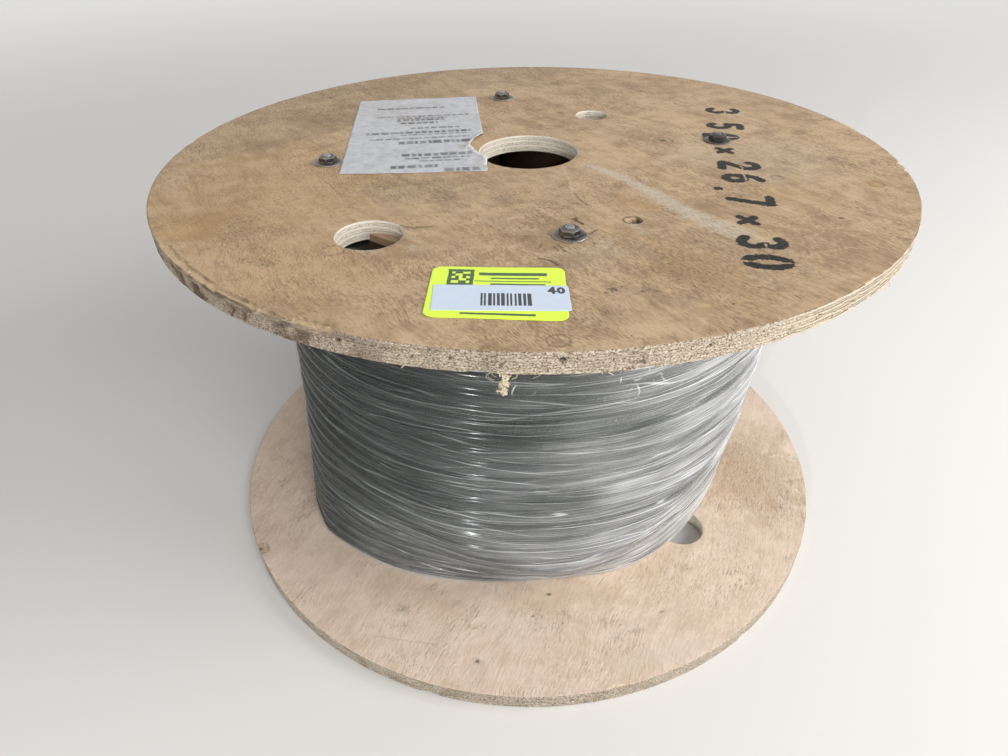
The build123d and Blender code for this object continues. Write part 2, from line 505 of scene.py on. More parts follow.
upperBoard = {
    "name": "upperBoard", "node": "top_flange", "slot": "aged_plywood", "seed": 11,
    "spacing": 2.8, "backSpacing": 7.0, "rimPoints": 1440, "edge": 0.7, "grainAngle": 63.0,
    # how clean and how dirty the saw cut is along the rim: (angle, clean, dirt)
    "rimLook": [(-180, 0.45, 0.7), (-150, 0.40, 0.95), (-135, 0.25, 1.0), (-124, 0.15, 0.75), (-114, 0.05, 0.38),
                (-95, 0.0, 0.18), (-79, 0.08, 0.08), (-71, 0.5, 0.0), (-63, 0.92, 0.0), (-20, 1.0, 0.0),
                (20, 0.85, 0.1), (90, 0.5, 0.3), (180, 0.45, 0.7)],
    # chips on the upper edge, and holes in the plies seen on the rim, painted dark inside as shade: (angle, half
    # width, size)
    "chips": [(-15.0, 1.3, 2.2), (-18.0, 0.9, 1.8), (-57.5, 2.4, 1.6), (-141.0, 6.0, 1.2), (-128.0, 3.0, 1.2),
              (166, 2, 1.5), (80, 1, 1.3), (35, 2, 1.4)],
    "underChips": [(-104.0, 2.2, 1.6), (-58.0, 3.0, 1.5), (-88.0, 1.5, 1.0), (10, 2, 1.4), (110, 3, 1.4)],
    "rimPits": [(-141, 0.55, 1.7), (-134, 0.35, 1.3), (-127, 0.5, 1.2), (-119, 0.6, 1.4), (-111, 0.45, 1.3),
                (-107, 0.6, 1.2), (-102, 0.4, 1.1), (-96, 0.62, 2.2), (-88, 0.35, 1.4), (-81, 0.6, 1.7),
                (-71, 0.3, 1.2), (-67, 0.55, 1.3), (-61, 0.45, 1.5), (-40, 0.5, 1.2), (-22, 0.4, 1.4), (12, 0.6, 1.5),
                (48, 0.4, 1.7), (83, 0.5, 1.4), (120, 0.6, 1.6), (151, 0.35, 1.3), (176, 0.5, 1.5)],
    # where the top veneer is split off along the rim: (from angle, to angle, width)
    "splitEdge": [(-152.0, -137.0, 5.2), (-138.5, -130.0, 3.6), (-131.0, -126.5, 2.2), (-124.5, -119.5, 5.6)],
    # dirt in the plies below the split: (from angle, to angle, low, high in mm, strength)
    "rimStains": [(-146, -124, 7.5, 11.2, 0.62), (-168, -147, 6.5, 10.5, 0.35), (-121, -112, 8.0, 11.0, 0.30)],
    # the lower board is the same pattern turned over, with seats for the bolts' heads
    "mirror": 1, "seats": False,
    "hidden": (0, 0),  # the radius that the winding hides, and the coarse spacing there
}

lowerBoard = {
    "name": "lowerBoard", "node": "bottom_flange", "slot": "pale_plywood", "seed": 23,
    "spacing": 3.4, "backSpacing": 7.5, "rimPoints": 1300, "edge": 0.6, "grainAngle": -57.0,
    "rimLook": [(-180, 0.4, 0.4), (-130, 0.3, 0.35), (-90, 0.15, 0.2), (-50, 0.4, 0.15), (0, 0.6, 0.2),
                (90, 0.5, 0.3), (180, 0.4, 0.4)],
    "chips": [(-85.0, 2.2, 4.5), (-152.0, 1.5, 1.6), (-47.0, 1.0, 1.4), (-60, 0.8, 1.2), (20, 1.5, 1.6),
              (130, 2, 1.8)],
    "underChips": [(-114.0, 2.0, 1.8), (-60.0, 1.5, 1.4), (60, 2, 1.5)],
    "rimPits": [(-133, 0.5, 1.5), (-108, 0.4, 1.3), (-92, 0.5, 1.4), (-70, 0.35, 1.3), (-43, 0.45, 1.5),
                (5, 0.5, 1.4), (77, 0.4, 1.5), (143, 0.5, 1.5)],
    "splitEdge": [], "rimStains": [(-150, -100, 1.0, 4.0, 0.25)],
    "mirror": -1, "seats": True, "hidden": (150, 8.0),
}


def inPatch(spots, patch):
    # Which points lie in a patch: (x, y, angle, half length, half width, spacing)
    x, y, angle, length, width, _ = patch
    u, v = local(*spots.T, (x, y), angle)
    return (np.abs(u) < length) & (np.abs(v) < width)


def faceSpots(settings, patches, top):
    # Loose points over one face. The upper face has finer patches, and rings of points near the rim.
    seed = settings["seed"]
    coarse = settings["spacing"] if top else settings["backSpacing"]
    spots = hexGrid(coarse, flangeRadius, seed)
    if not top:
        return spots[np.hypot(*spots.T) < flangeRadius - coarse]
    reach, spacing = settings["hidden"]
    if reach:
        spots = np.concatenate([spots[np.hypot(*spots.T) > reach], hexGrid(spacing, reach, seed + 1)])
    for patch in patches:
        fine = hexGrid(patch[5], max(patch[3:5]) * 1.6, seed + 7) + np.array(patch[:2])
        spots = np.concatenate([spots[~inPatch(spots, patch)], fine[inPatch(fine, patch)]])
    spots = spots[np.hypot(*spots.T) < flangeRadius - sharedBoard["rimMargin"]]
    rng = np.random.default_rng(seed + 3)
    for inset, count in sharedBoard["rimRings"]:
        band = circle(count, flangeRadius - sharedBoard["trim"] - settings["edge"] - inset + 0.3)
        spots = np.concatenate([spots, band + rng.uniform(-0.15, 0.15, band.shape)])
    return spots


def boardMesh(settings, low, high, patches):
    # Returns points, the centre each wall turns about, faces and the kind of each face (0 veneer, 1 rim, 2 drilled)
    shared = sharedBoard
    points, centres, faces, kinds = [], [], [], []
    rings = {"top": [], "bottom": []}

    def add(rows, centre):
        start = sum(map(len, points))
        points.append(rows)
        centres.append(np.tile(np.array(centre, float), (len(rows), 1)))
        return start

    def wall(profile, count, centre, kind, side=-1):
        # The profile runs from the top down, and its first and last rings are shared with the faces.
        # The side is 1 for the rim and -1 for a hole.
        start = add(turnedPoints(profile, count, centre), (*centre, side))
        quads = loopFaces(len(profile), count, start, flip=side > 0)
        faces.extend(quads.tolist())
        kinds.extend([kind] * len(quads))
        rings["top"].append((start, count))
        rings["bottom"].append((start + (len(profile) - 1) * count, count))

    def cornered(corner, levels):
        # A profile with the same corner, as (radius, depth), at both faces
        top = [(r, high - depth) for r, depth in corner]
        middle = [(corner[-1][0], z) for z in levels]
        return top + middle + [(r, low + depth) for r, depth in reversed(corner)]

    edge, R = settings["edge"], flangeRadius - shared["trim"]
    corner = [(R - edge, 0), (R - edge * 0.3, 0.25), (R, 0.75)]
    wall(cornered(corner, np.linspace(high - 1.3, low + 1.3, 11)), settings["rimPoints"], (0, 0), 1, 1)
    for x, y, radius, count in shared["holes"]:
        corner = [(radius + 0.5, 0), (radius + 0.12, 0.15), (radius, 0.5)]
        profile = cornered(corner, np.linspace(high - 1.6, low + 1.6, 8))
        wall(profile, count, (x * settings["mirror"], y), 2)
    hole, (seat, deep) = shared["boltHole"], shared["boltSeat"]
    seated = [(hole, high), (hole, low + deep), (seat, low + deep), (seat, low)]
    for place in boltPlaces:
        wall(seated if settings["seats"] else cornered([(hole + 0.3, 0), (hole, 0.3)], []), 40, place, 1)
    for side, z in (("top", high), ("bottom", low)):
        spots = faceSpots(settings, patches, side == "top")
        allPoints = np.concatenate(points)
        circles = [allPoints[start:start + count] for start, count in rings[side]]
        keep = np.ones(len(spots), bool)
        for ring in circles[1:]:
            middle, reach = ring.mean(0)[:2], np.hypot(*(ring[0] - ring.mean(0))[:2])
            keep &= np.hypot(*(spots - middle).T) > reach + shared["holeMargin"]
        spots = spots[keep]
        first = add(np.column_stack([spots, np.full(len(spots), float(z))]), (0, 0, 0))
        # the first ring is the outline, the others are holes in it
        ringOf, edges, start = np.full(sum(map(len, circles)) + len(spots), -1), [], 0
        for number, ring in enumerate(circles):
            index = np.arange(len(ring))
            edges += np.stack([start + index, start + (index + 1) % len(ring)], 1).tolist()
            ringOf[start:start + len(ring)] = number
            start += len(ring)
        triangles, area = flatTriangles(np.concatenate([ring[:, :2] for ring in circles] + [spots]), edges, [])
        owner = ringOf[triangles]
        hole = (owner[:, 0] > 0) & (owner[:, 0] == owner[:, 1]) & (owner[:, 1] == owner[:, 2])
        triangles = triangles[~hole & (np.abs(area) > 1e-9)]
        index = [start + np.arange(count) for start, count in rings[side]] + [first + np.arange(len(spots))]
        triangles = np.concatenate(index)[triangles]
        faces.extend((triangles if side == "top" else triangles[:, ::-1]).tolist())
        kinds.extend([0] * len(triangles))
    return np.concatenate(points), np.concatenate(centres), faces, kinds


def wearBoard(points, centres, settings, low, high):
    # Roughens the rim and the hole walls, knocks chips off the edges and splits the veneer along the rim.
    # Points only move inwards. Returns the new points and how bare and how dark each one is: dirt, and painted shade
    # in the pits and along the split's step.
    def rough(*place):
        return bumps(*place, seed=settings["seed"])

    x, y, z = points.T.copy()
    radius, angle = np.hypot(x, y), np.degrees(np.arctan2(y, x))
    arc = np.radians(angle) * flangeRadius
    onRim = centres[:, 2] > 0.5
    bare, dark = np.zeros(len(points)), np.zeros(len(points))
    inset, below, above = flangeRadius - radius, high - z, z - low
    # rough plies on the rim
    ply = np.floor((z - low) / (high - low) * sharedBoard["plies"])
    push = 0.16 + 0.16 * rough(arc / 1.7, z / 0.9, 0) + 0.10 * rough(arc / 5, z / 2.0, 3)
    push += 0.16 * (ply % 2) * (0.6 + 0.4 * rough(arc / 9, ply, 7))
    push = (push + ease(0.35, 0.8, rough(arc / 6.0, ply * 3.1, 11)) * 0.7) * ease(0.2, 1.2, np.minimum(below, above))
    for at, tall, size in settings["rimPits"]:
        away = np.abs(turnGap(angle, at)) * math.pi / 180 * flangeRadius
        gap = np.hypot(away / size, (z - (low + (high - low) * tall)) / (size * 0.75))
        gap = gap + 0.25 * rough(arc / 1.2, z / 1.2, at)
        push = np.maximum(push, fade(0.5, 1.15, gap) * size * 1.5)
        # painted shade: the inside of each pit is darkened
        dark = np.maximum(dark, onRim * fade(0.55, 1.0, gap) * 0.95)
    push = np.where(onRim, push, 0)
    # chips along both edges: everything nearer to the corner than the chip's size is planed off
    for depth, places, sign in ((below, settings["chips"], -1), (above, settings["underChips"], 1)):
        chip = np.zeros_like(angle)
        for at, half, size in places:
            chip = np.maximum(chip, size * fade(0.2, 1.0, np.abs(turnGap(angle, at)) / half))
        size = 0.45 + 0.45 * rough(arc / 2.0, sign, 1) + 0.4 * ease(0.5, 0.95, rough(arc / 5.0, sign, 2))
        size = np.maximum(size + chip * (0.75 + 0.5 * rough(arc / 2.0, sign, 4)), 0)
        corner = np.maximum(0, size - (np.maximum(inset, 0) + depth)) * (depth < 6)
        cut = np.where(inset < 12, corner * 0.5, 0)
        z = z + sign * cut
        push = push + cut
        bare = np.maximum(bare, np.where(inset < 12, ease(0.2, 1.2, cut), 0))
    # the veneer split off along the rim
    for fromAngle, toAngle, width in settings["splitEdge"]:
        inside = ease(fromAngle - 0.6, fromAngle + 0.8, angle) * fade(toAngle - 0.8, toAngle + 0.6, angle)
        wide = inside * width * (0.95 + 0.05 * rough(arc / 2.2, 0, 6) + 0.14 * rough(arc / 11, 1, 6))
        hit = ease(0.0, 0.6, wide - inset) * (below < 4) * (inset < 14)
        z = np.where(below < 1.4, z - hit * (1.15 + 0.35 * rough(arc / 1.3, inset / 1.3, 8)), z)
        bare = np.maximum(bare, hit * (0.8 + 0.2 * rough(arc / 3, inset, 9)))
        # painted shadow: a dark line along the step at the inner edge of the split
        line = fade(0.25, 0.75, np.abs(wide - 0.2 - inset)) * inside * (below < 1.4) * (wide > 1.0)
        dark = np.maximum(dark, line * (0.42 + 0.3 * rough(arc / 5, 2, 6)))
    for fromAngle, toAngle, bottom, top, strength in settings["rimStains"]:
        inside = ease(fromAngle - 2, fromAngle + 2, angle) * fade(toAngle - 2, toAngle + 2, angle) * onRim
        level = (z - low) + 1.6 * rough(arc / 14, 0, 21)
        patch = ease(bottom - 0.8, bottom + 0.8, level) * fade(top - 0.6, top + 0.8, level)
        patch = patch * ease(-0.5, 0.4, rough(arc / 7, z / 2.5, 22))
        dark = np.maximum(dark, inside * patch * strength)
    x, y = [value - value / np.maximum(radius, 1e-6) * push for value in (x, y)]
    # hole walls: shallow saw marks and torn fibres
    dx, dy = (points - centres)[:, :2].T
    reach = np.maximum(np.hypot(dx, dy), 1e-6)
    turn, level = np.arctan2(dy, dx) * reach, points[:, 2]
    middle = ease(0.0, 0.8, np.minimum(high - level, level - low))
    wobble = 0.12 * rough(turn / 2.2, level / 0.8, 2) + 0.1 * (ply % 2)
    wobble = wobble * middle + 0.12 * rough(turn / 2.0, 0, 5) * (1 - middle)
    wobble = np.where((centres[:, 2] < -0.5) & (reach > 10), wobble, 0)
    return np.stack([x + dx / reach * wobble, y + dy / reach * wobble, z], 1), bare, dark


def arcLine(cx, cy, rx, ry, start, end, steps=14):
    turn = np.radians(np.linspace(start, end, steps))
    return np.stack([cx + rx * np.cos(turn), cy + ry * np.sin(turn)], 1).tolist()


# Plain size marks in stencil letters, drawn as strokes in a box one unit high
stencilGlyphs = {
    "0": [arcLine(0, 0, 0.21, 0.40, 100, 260), arcLine(0, 0, 0.21, 0.40, -80, 80)],
    "1": [[(0.02, -0.5), (0.02, 0.42)], [(0.0, 0.40), (-0.17, 0.27)]],
    "2": [arcLine(0, 0.21, 0.21, 0.21, 165, -28), [(0.17, 0.09), (-0.2, -0.37)], [(-0.16, -0.42), (0.24, -0.42)]],
    "3": [arcLine(-0.02, 0.20, 0.20, 0.20, 140, -60), arcLine(-0.02, -0.19, 0.22, 0.22, 55, -145)],
    "5": [[(0.2, 0.42), (-0.14, 0.42)], [(-0.16, 0.36), (-0.18, 0.06)], arcLine(-0.02, -0.16, 0.21, 0.25, 108, -140)],
    "6": [arcLine(0.0, -0.19, 0.19, 0.22, 0, 360, 22), arcLine(0.14, -0.16, 0.34, 0.58, 168, 100)],
    "7": [[(-0.2, 0.42), (0.2, 0.42)], [(0.19, 0.34), (-0.03, -0.46)]],
    "x": [[(-0.20, -0.20), (0.20, 0.20)], [(-0.20, 0.20), (0.20, -0.20)]],
    ".": [[(0.0, -0.44), (0.0, -0.43)]],
}

sizeMarks = {
    "height": 27.0, "stroke": 5.6, "reading": (-0.289, -0.957),
    "signs": [("3", 174, 71), ("5", 160, 32), ("0", 147, 8), ("x", 138, -22), ("2", 136, -52), ("6", 129, -75),
              (".", 118, -92), ("7", 119, -110), ("x", 105, -137), ("3", 101, -166), ("0", 94, -188)],
    "small": 0.78,  # size of the crosses beside the numerals
    "blot": (141, 10, 9.0, 5.5, -70),  # paint that bled under the stencil
    "patch": (-16.8, 15.5, 11.5, 0.85),  # finer mesh round each sign: (angle, half length, half width, spacing)
    "reach": 24,  # no part of a sign lies farther from its middle
}


def stencilInk(x, y, marks):
    # How far inside a painted stroke each point is, in millimetres
    ink = np.full(x.shape, -9.0)
    for sign, px, py in marks["signs"]:
        tall = marks["height"] * (marks["small"] if sign == "x" else 1.0)
        half = marks["stroke"] / 2 * (0.8 if sign == "x" else 1.0)
        near = np.hypot(x - px, y - py) < marks["reach"]
        u, v = [value[near] / tall for value in local(x, y, (px, py), marks["reading"])]
        best = np.full(u.shape, -9.0)
        for stroke in stencilGlyphs[sign]:
            gap, _ = alongLine(u, v, stroke)
            best = np.maximum(best, half - gap * tall)
        if sign in "0236":  # the bridges that hold a stencil's middle
            best = np.minimum(best, np.abs(u * tall) - 0.9 if sign == "0" else np.abs(v * tall - 1.5) - 0.8)
        ink[near] = np.maximum(ink[near], best)
    bx, by, length, width, angle = marks["blot"]
    u, v = local(x, y, (bx, by), angle)
    return np.maximum(ink, (1 - np.hypot(u / length, v / width)) * width)


upperMarks = {
    # the soil rings at (-3, -144), (-144, -1), (-2, 141) and (138, 0) are painted contact shade round the washers;
    # the others are soil
    "soilAndShade": [(7, -203, 9, 7, 0, 0.55), (24, -207, 9, 5, 0, 0.5), (93, -178, 34, 13, -57, 0.50),
             (64, -212, 30, 9, -20, 0.46), (-120, -146, 16, 6, -10, 0.3), (-3, -144, 12, 11, 0, 0.4),
             (-144, -1, 12, 11, 0, 0.4), (-2, 141, 12, 11, 0, 0.35), (138, 0, 12, 11, 0, 0.4),
             (-82, -64, 38, 24, -15, 0.50), (-107, -55, 13, 10, 0, 0.66), (-67, -73, 17, 12, -25, 0.68),
             (-30, -84, 13, 8, -25, 0.56), (-65, -97.5, 6, 2.6, -30, 0.7), (-167, -147, 11, 4, -35, 0.5),
             (10, -204, 5, 4.5, 0, 0.75), (25, -207, 6, 3, 0, 0.5), (55, -190, 38, 30, -60, 0.60),
             (70, -165, 16, 8, -60, 0.4), (40, -215, 20, 8, 10, 0.5), (-5, -222, 45, 12, 6, 0.25),
             (187, 15, 15, 8, 10, 0.45), (208, 7, 7, 5, 0, 0.5), (183, -23, 8, 6, 0, 0.5), (145, 108, 8, 4, -50, 0.4),
             (125, 99, 6, 4, -50, 0.35), (147, 67, 7, 5, -50, 0.4), (208, 111, 7, 6, 0, 0.4),
             (183, 97, 8, 6, 0, 0.35), (48, 45, 7, 6, 0, 0.3), (127, -191, 8, 4, 30, 0.45),
             (119, -167, 6, 5, 0, 0.35), (102, 7, 9, 6, -40, 0.5), (-88, -150, 12, 6, -30, 0.25),
             (200, -60, 26, 14, 60, 0.25), (0, -143, 16, 9, 0, 0.3), (-4, 141, 18, 12, 0, 0.3),
             (-141, 2, 17, 12, 0, 0.3), (141, 2, 14, 12, 0, 0.3), (-200, 60, 40, 30, 30, 0.25),
             (30, 180, 46, 24, -15, 0.2), (90, 150, 20, 12, -60, 0.25)],
    "warmStainAndBounce": [(-175, -40, 75, 90, 20, 0.42), (-150, -150, 60, 40, -35, 0.35), (-208, -92, 26, 30, -20, 0.6),
             (-129, -139, 7, 7, 0, 0.5), (208, -97.5, 6.5, 6.5, 0, 0.75), (-227, -103, 6, 5, 0, 0.7),
             (48, -103, 15, 9, -50, 0.45), (-190, -40, 20, 12, -40, 0.3), (57, -190, 24, 44, 30, 0.50),
             (150, -110, 30, 12, -50, 0.25), (-60, -120, 30, 10, -40, 0.2), (-150, 168, 6, 4, 0, 0.4)],
    "pale": [(150, -40, 50, 46, -20, 0.22), (10, -165, 34, 14, 0, 0.16), (-87.5, -142, 3.0, 6.0, 20, 0.9),
             (40, -138, 3, 9, 10, 0.6), (-112, -142, 9, 3, -20, 0.4), (20, -150, 7, 3, 30, 0.3)],
    "dots": [(8, -203, 2.6, 2.0, 40, 0.6), (4, -206, 1.4, 1.0, 0, 0.6), (13, -201, 1.2, 0.8, 0, 0.5),
             (23, -206.5, 3.0, 1.0, 20, 0.5), (28, -208, 1.6, 0.9, 0, 0.5), (-19, -127.5, 1.6, 0.8, 80, 0.55),
             (-18, -150.5, 3.0, 0.7, 70, 0.5), (159, -143, 1.5, 1.2, 0, 0.9), (-150, 168, 2.2, 1.6, -40, 0.85),
             (42, 88, 3, 1.6, -50, 0.7), (84, 22, 2, 1.3, -40, 0.8), (102, 7, 2.4, 1.8, 0, 0.9),
             (8, -121, 3.5, 1.2, 80, 0.8), (14, -138, 3.4, 1.1, 50, 0.6), (-40, 14, 2, 1.5, 0, 0.3)],
    "knots": [(151, -77, 4.2, 0.45), (-27, -243, 5.2, 0.5), (-129, -139, 6.2, 0.4), (208, -97.5, 5.0, 0.45),
              (40, -126.7, 5.2, 0.8), (102, 7, 7.5, 0.3)],
    "darkLines": [([(15.5, -82), (16.0, -90), (17.8, -97), (19.5, -101)], 1.1, 0.55),
                  ([(-149, -20), (-137, -43), (-128, -66)], 0.5, 0.4),
                  ([(6.3, -119.6), (8.2, -123.0), (10.4, -127.3)], 1.2, 0.9),
                  ([(11.5, -140.9), (13.9, -138.2), (16.0, -136.6)], 1.1, 0.85),
                  ([(-21.7, -165.3), (-18.7, -166.7), (-16.4, -168.8), (-14.7, -171.0), (-13.7, -173.9)], 1.1, 0.9),
                  ([(-9.0, -151.8), (-7.8, -155.1), (-6.5, -159.5)], 0.9, 0.75),
                  ([(-11.5, -153.0), (-10.0, -157.5)], 0.8, 0.65),
                  ([(-93, -113), (-86, -117.5), (-75, -117)], 1.3, 0.6),
                  ([(-170, 12), (-150, 30), (-128, 52)], 0.7, 0.3)],
    "paleLines": [([(18, -38), (17.4, -58), (15, -80)], 0.7, 0.5)],
    "rub": ([(28, -26), (42, -44), (53, -63), (62, -83), (67, -100), (73, -118), (83, -137), (93, -153), (99, -163)],
            3.0, 10.5, 0.72),
    # the weathered part at the back left ends along this line
    "weatherLine": [(-256, 2), (-222, 16), (-190, 38), (-150, 60), (-110, 95), (-60, 150), (20, 200), (120, 235)],
    "stencil": sizeMarks,
    "knotHole": (41.5, -127.2, 0.9),  # place, and its width as a part of its height
    "knotHolePatch": (41, -127, 0, 8, 8, 0.7),
}

lowerMarks = {
    "soilAndShade": [(190, -70, 56, 60, 30, 0.32), (-69, -220, 5, 3, 0, 0.45), (-121, -171, 6, 3, 20, 0.5),
             (50, -213, 6, 2.5, 0, 0.4), (99, -164, 6, 3, 10, 0.4), (184, -167, 7, 4, 0, 0.4),
             (200, -38, 8, 4, 0, 0.4), (-200, -60, 18, 10, 60, 0.3), (0, -190, 40, 14, 0, 0.12),
             (150, -140, 30, 10, 40, 0.15)],
    # the warm bands at (-10, -175), (90, -150) and (-110, -160) are painted contact shade and warm bounce light along
    # the winding's foot; the others are stains
    "warmStainAndBounce": [(185, -70, 60, 56, 30, 0.42), (-10, -175, 70, 12, 0, 0.3), (90, -150, 50, 12, 25, 0.28),
             (-110, -160, 50, 14, -35, 0.25), (-233, -97, 8, 6, 0, 0.6)],
    "pale": [(60, -232, 40, 8, 10, 0.3)],
    "dots": [(-10, -173, 2.2, 1.2, 0, 0.7), (-69, -220, 1.6, 1.2, 0, 0.7), (70, -200, 3, 1, 10, 0.6),
             (37, -206, 2.4, 0.9, 20, 0.6), (-25, -190, 1.8, 1.0, 0, 0.5), (-233, -97, 2.2, 1.6, 0, 0.7)],
    "knots": [(-233, -97, 6.0, 0.5)],
    "darkLines": [([(-140, -190), (-120, -196), (-96, -203)], 0.6, 0.25)],
    "paleLines": [], "rub": None, "weatherLine": None,
    "stencil": None, "knotHole": None,
}


def paintBoard(points, marks, top, seed):
    # Soil with painted shade round the washers, warm stain with painted shade and bounce along the winding's foot,
    # pale rub, darkness for points on the upper face
    x, y, z = points.T
    soilAndShade, warmStainAndBounce, pale, dark = [blobs(x, y, marks[kind], seed + i)
                              for i, kind in enumerate(("soilAndShade", "warmStainAndBounce", "pale", "dots"))]
    for kx, ky, size, strength in marks["knots"]:
        gap = np.abs(np.hypot(x - kx, (y - ky) * 1.12) - size + 0.7 * bumps(x / 3, y / 3, kx, seed))
        dark = np.maximum(dark, strength * fade(0.2, 1.0, gap))
    for line, width, strength in marks["darkLines"]:
        gap, _ = alongLine(x, y, line)
        broken = 0.75 + 0.25 * bumps(x / 1.5, y / 1.5, 0, seed)
        dark = np.maximum(dark, strength * fade(width * 0.4, width * 1.3, gap) * broken)
    for line, width, strength in marks["paleLines"]:
        gap, _ = alongLine(x, y, line)
        pale = np.maximum(pale, strength * fade(width * 0.3, width * 1.6, gap))
    if marks["rub"]:
        line, narrow, wide, strength = marks["rub"]
        gap, part = alongLine(x, y, line)
        ends = ease(0.0, 0.12, part) * (1 - ease(0.8, 1.0, part) * 0.7)
        edge = gap / (narrow + (wide - narrow) * part) + 0.25 * bumps(x / 2.5, y / 2.5, 2, seed)
        pale = np.maximum(pale, strength * ends * fade(0.45, 1.15, edge))
    if marks["weatherLine"]:
        behind = y - np.interp(x, *np.array(marks["weatherLine"], float).T)
        ragged = 4 * bumps(x / 14, y / 14, 1, seed) + 1.5 * bumps(x / 4, y / 4, 1, seed)
        cloudy = 0.42 + 0.14 * bumps(x / 25, y / 25, 4, seed)
        soilAndShade = np.maximum(soilAndShade, ease(-2, 4, behind + ragged) * cloudy * (1 - ease(0, 260, x) * 0.6))
    return [value * ease(top - 1.4, top - 0.3, z) for value in (soilAndShade, warmStainAndBounce, pale, dark)]


def dentBoard(points, marks, top, settings):
    # Shallow waves, raised grain, knots and a knot hole pressed into the upper face
    x, y, z = points.T.copy()
    seed = settings["seed"]
    turn = math.radians(settings["grainAngle"])
    along, across = x * math.cos(turn) - y * math.sin(turn), x * math.sin(turn) + y * math.cos(turn)
    drop = 0.05 + 0.05 * bumps(along / 60, across / 14, 0, seed) + 0.03 * bumps(along / 16, across / 3.5, 1, seed)
    for kx, ky, size, strength in marks["knots"]:
        drop = drop + strength * 0.5 * fade(size * 0.6, size * 1.1, np.hypot(x - kx, y - ky))
    for line, width, strength in marks["darkLines"]:
        gap, _ = alongLine(x, y, line)
        drop = drop + 0.35 * strength * fade(width * 0.2, width, gap)
    if marks["knotHole"]:
        hx, hy, flat = marks["knotHole"]
        hole = np.hypot(x - hx, (y - hy) * flat) + 0.5 * bumps(x / 2, y / 2, 3, seed)
        drop = drop + 4.5 * fade(2.6, 3.9, hole)
    return np.stack([x, y, z - drop * ease(top - 0.6, top - 0.2, z)], 1)


def veneerNodes(tree, light, dark, contrast, flecks, grainAngle, printed):
    wood, woodHeight, pores = useGroup(tree, woodFigure, math.radians(grainAngle), light, dark, contrast, flecks)
    dirt, fine = useGroup(tree, grime, 26.0, 0.35, 0.35)
    soilAndShade, warmStainAndBounce, pale = pointValues(tree, "stains")
    bare, darkMarksAndShade, ink = pointValues(tree, "wearAndShade")
    broken = remap(fine, 0.3, 0.62, 0.55, 1.0)
    colour = blend(dirt * 0.30, wood, (0.24, 0.18, 0.12, 1))
    # warm stains, and on the lower board painted contact shade and warm bounce light along the winding's foot
    colour = blend(warmStainAndBounce * 0.75, colour, (0.47, 0.29, 0.12, 1))
    # soil settles in the pores, so it shows as short dark lines along the grain, and so do the rings of painted
    # contact shade round the washers
    colour = blend(soilAndShade * broken * remap(pores, 0.0, 1.0, 0.5, 1.35), colour, (0.145, 0.108, 0.076, 1))
    colour = blend(pale * broken * remap(pores, 0.0, 1.0, 1.0, 0.35), colour, (0.64, 0.585, 0.485, 1))
    colour = blend(bare * remap(fine, 0.35, 0.6, 0.35, 0.9), colour, (0.60, 0.445, 0.275, 1))
    # dark marks, and painted shade along the split veneer's step and inside the knot hole
    colour = blend(darkMarksAndShade, colour, (0.035, 0.026, 0.02, 1))
    if printed:
        # the ink value is the depth inside a stroke, from -4 to 4 mm over 0 to 1
        ragged = noise(position(tree), 560.0, 3.0, 0.65)
        painted = remap(ink + (ragged - 0.5) * 0.55, 0.44, 0.50)
        colour = blend(painted * remap(ragged, 0.30, 0.50, 0.88, 1.0), colour, (0.012, 0.012, 0.010, 1))
    return {"Base Color": colour, "Roughness": remap(dirt, 0.0, 1.0, 0.60, 0.78),
            "Normal": bump(woodHeight + fine * 0.7, 0.6, 0.0006), "Specular IOR Level": 0.2}


def edgeNodes(tree, base, longGrain, endGrain, glue):
    clean, soiled, _ = pointValues(tree, "sawCut")
    each = sharedBoard["thick"] * mm / sharedBoard["plies"]
    plies, height = useGroup(tree, plyLayers, base * mm, each, clean, longGrain, endGrain, glue)
    dirt, _ = useGroup(tree, grime, 60.0, 1.0, 0.3)
    bare, darkMarksAndShade, _ = pointValues(tree, "wearAndShade")
    colour = blend(soiled * remap(dirt, 0.0, 0.9, 0.45, 1.25), plies, (0.140, 0.098, 0.063, 1))
    colour = blend(bare * 0.6, colour, (0.62, 0.48, 0.33, 1))
    # dark marks and dirt, and painted shade inside the pits in the plies
    return {"Base Color": blend(darkMarksAndShade, colour, (0.03, 0.022, 0.016, 1)),
            "Roughness": remap(dirt, 0.0, 1.0, 0.72, 0.88),
            "Normal": bump(height, 0.8, 0.0008), "Specular IOR Level": 0.25}


agedVeneer = makeMaterial("agedVeneer", veneerNodes, (0.600, 0.438, 0.275, 1), (0.325, 0.218, 0.127, 1), 1.15, 0.8,
                          upperBoard["grainAngle"], True)
paleVeneer = makeMaterial("paleVeneer", veneerNodes, (0.870, 0.725, 0.600, 1), (0.655, 0.507, 0.385, 1), 0.8, 0.45,
                          lowerBoard["grainAngle"], False)
agedEdge, paleEdge, freshEdge = [makeMaterial(name, edgeNodes, *look) for name, look in {
    "agedPlyEdge": (upperLow.z, (0.75, 0.66, 0.51, 1), (0.595, 0.487, 0.365, 1), 1.0),
    "palePlyEdge": (lowerLow.z, (0.72, 0.61, 0.48, 1), (0.56, 0.465, 0.36, 1), 0.5),
    "drilledPlyEdge": (upperLow.z, (0.93, 0.85, 0.73, 1), (0.84, 0.75, 0.62, 1), 0.25),
}.items()]


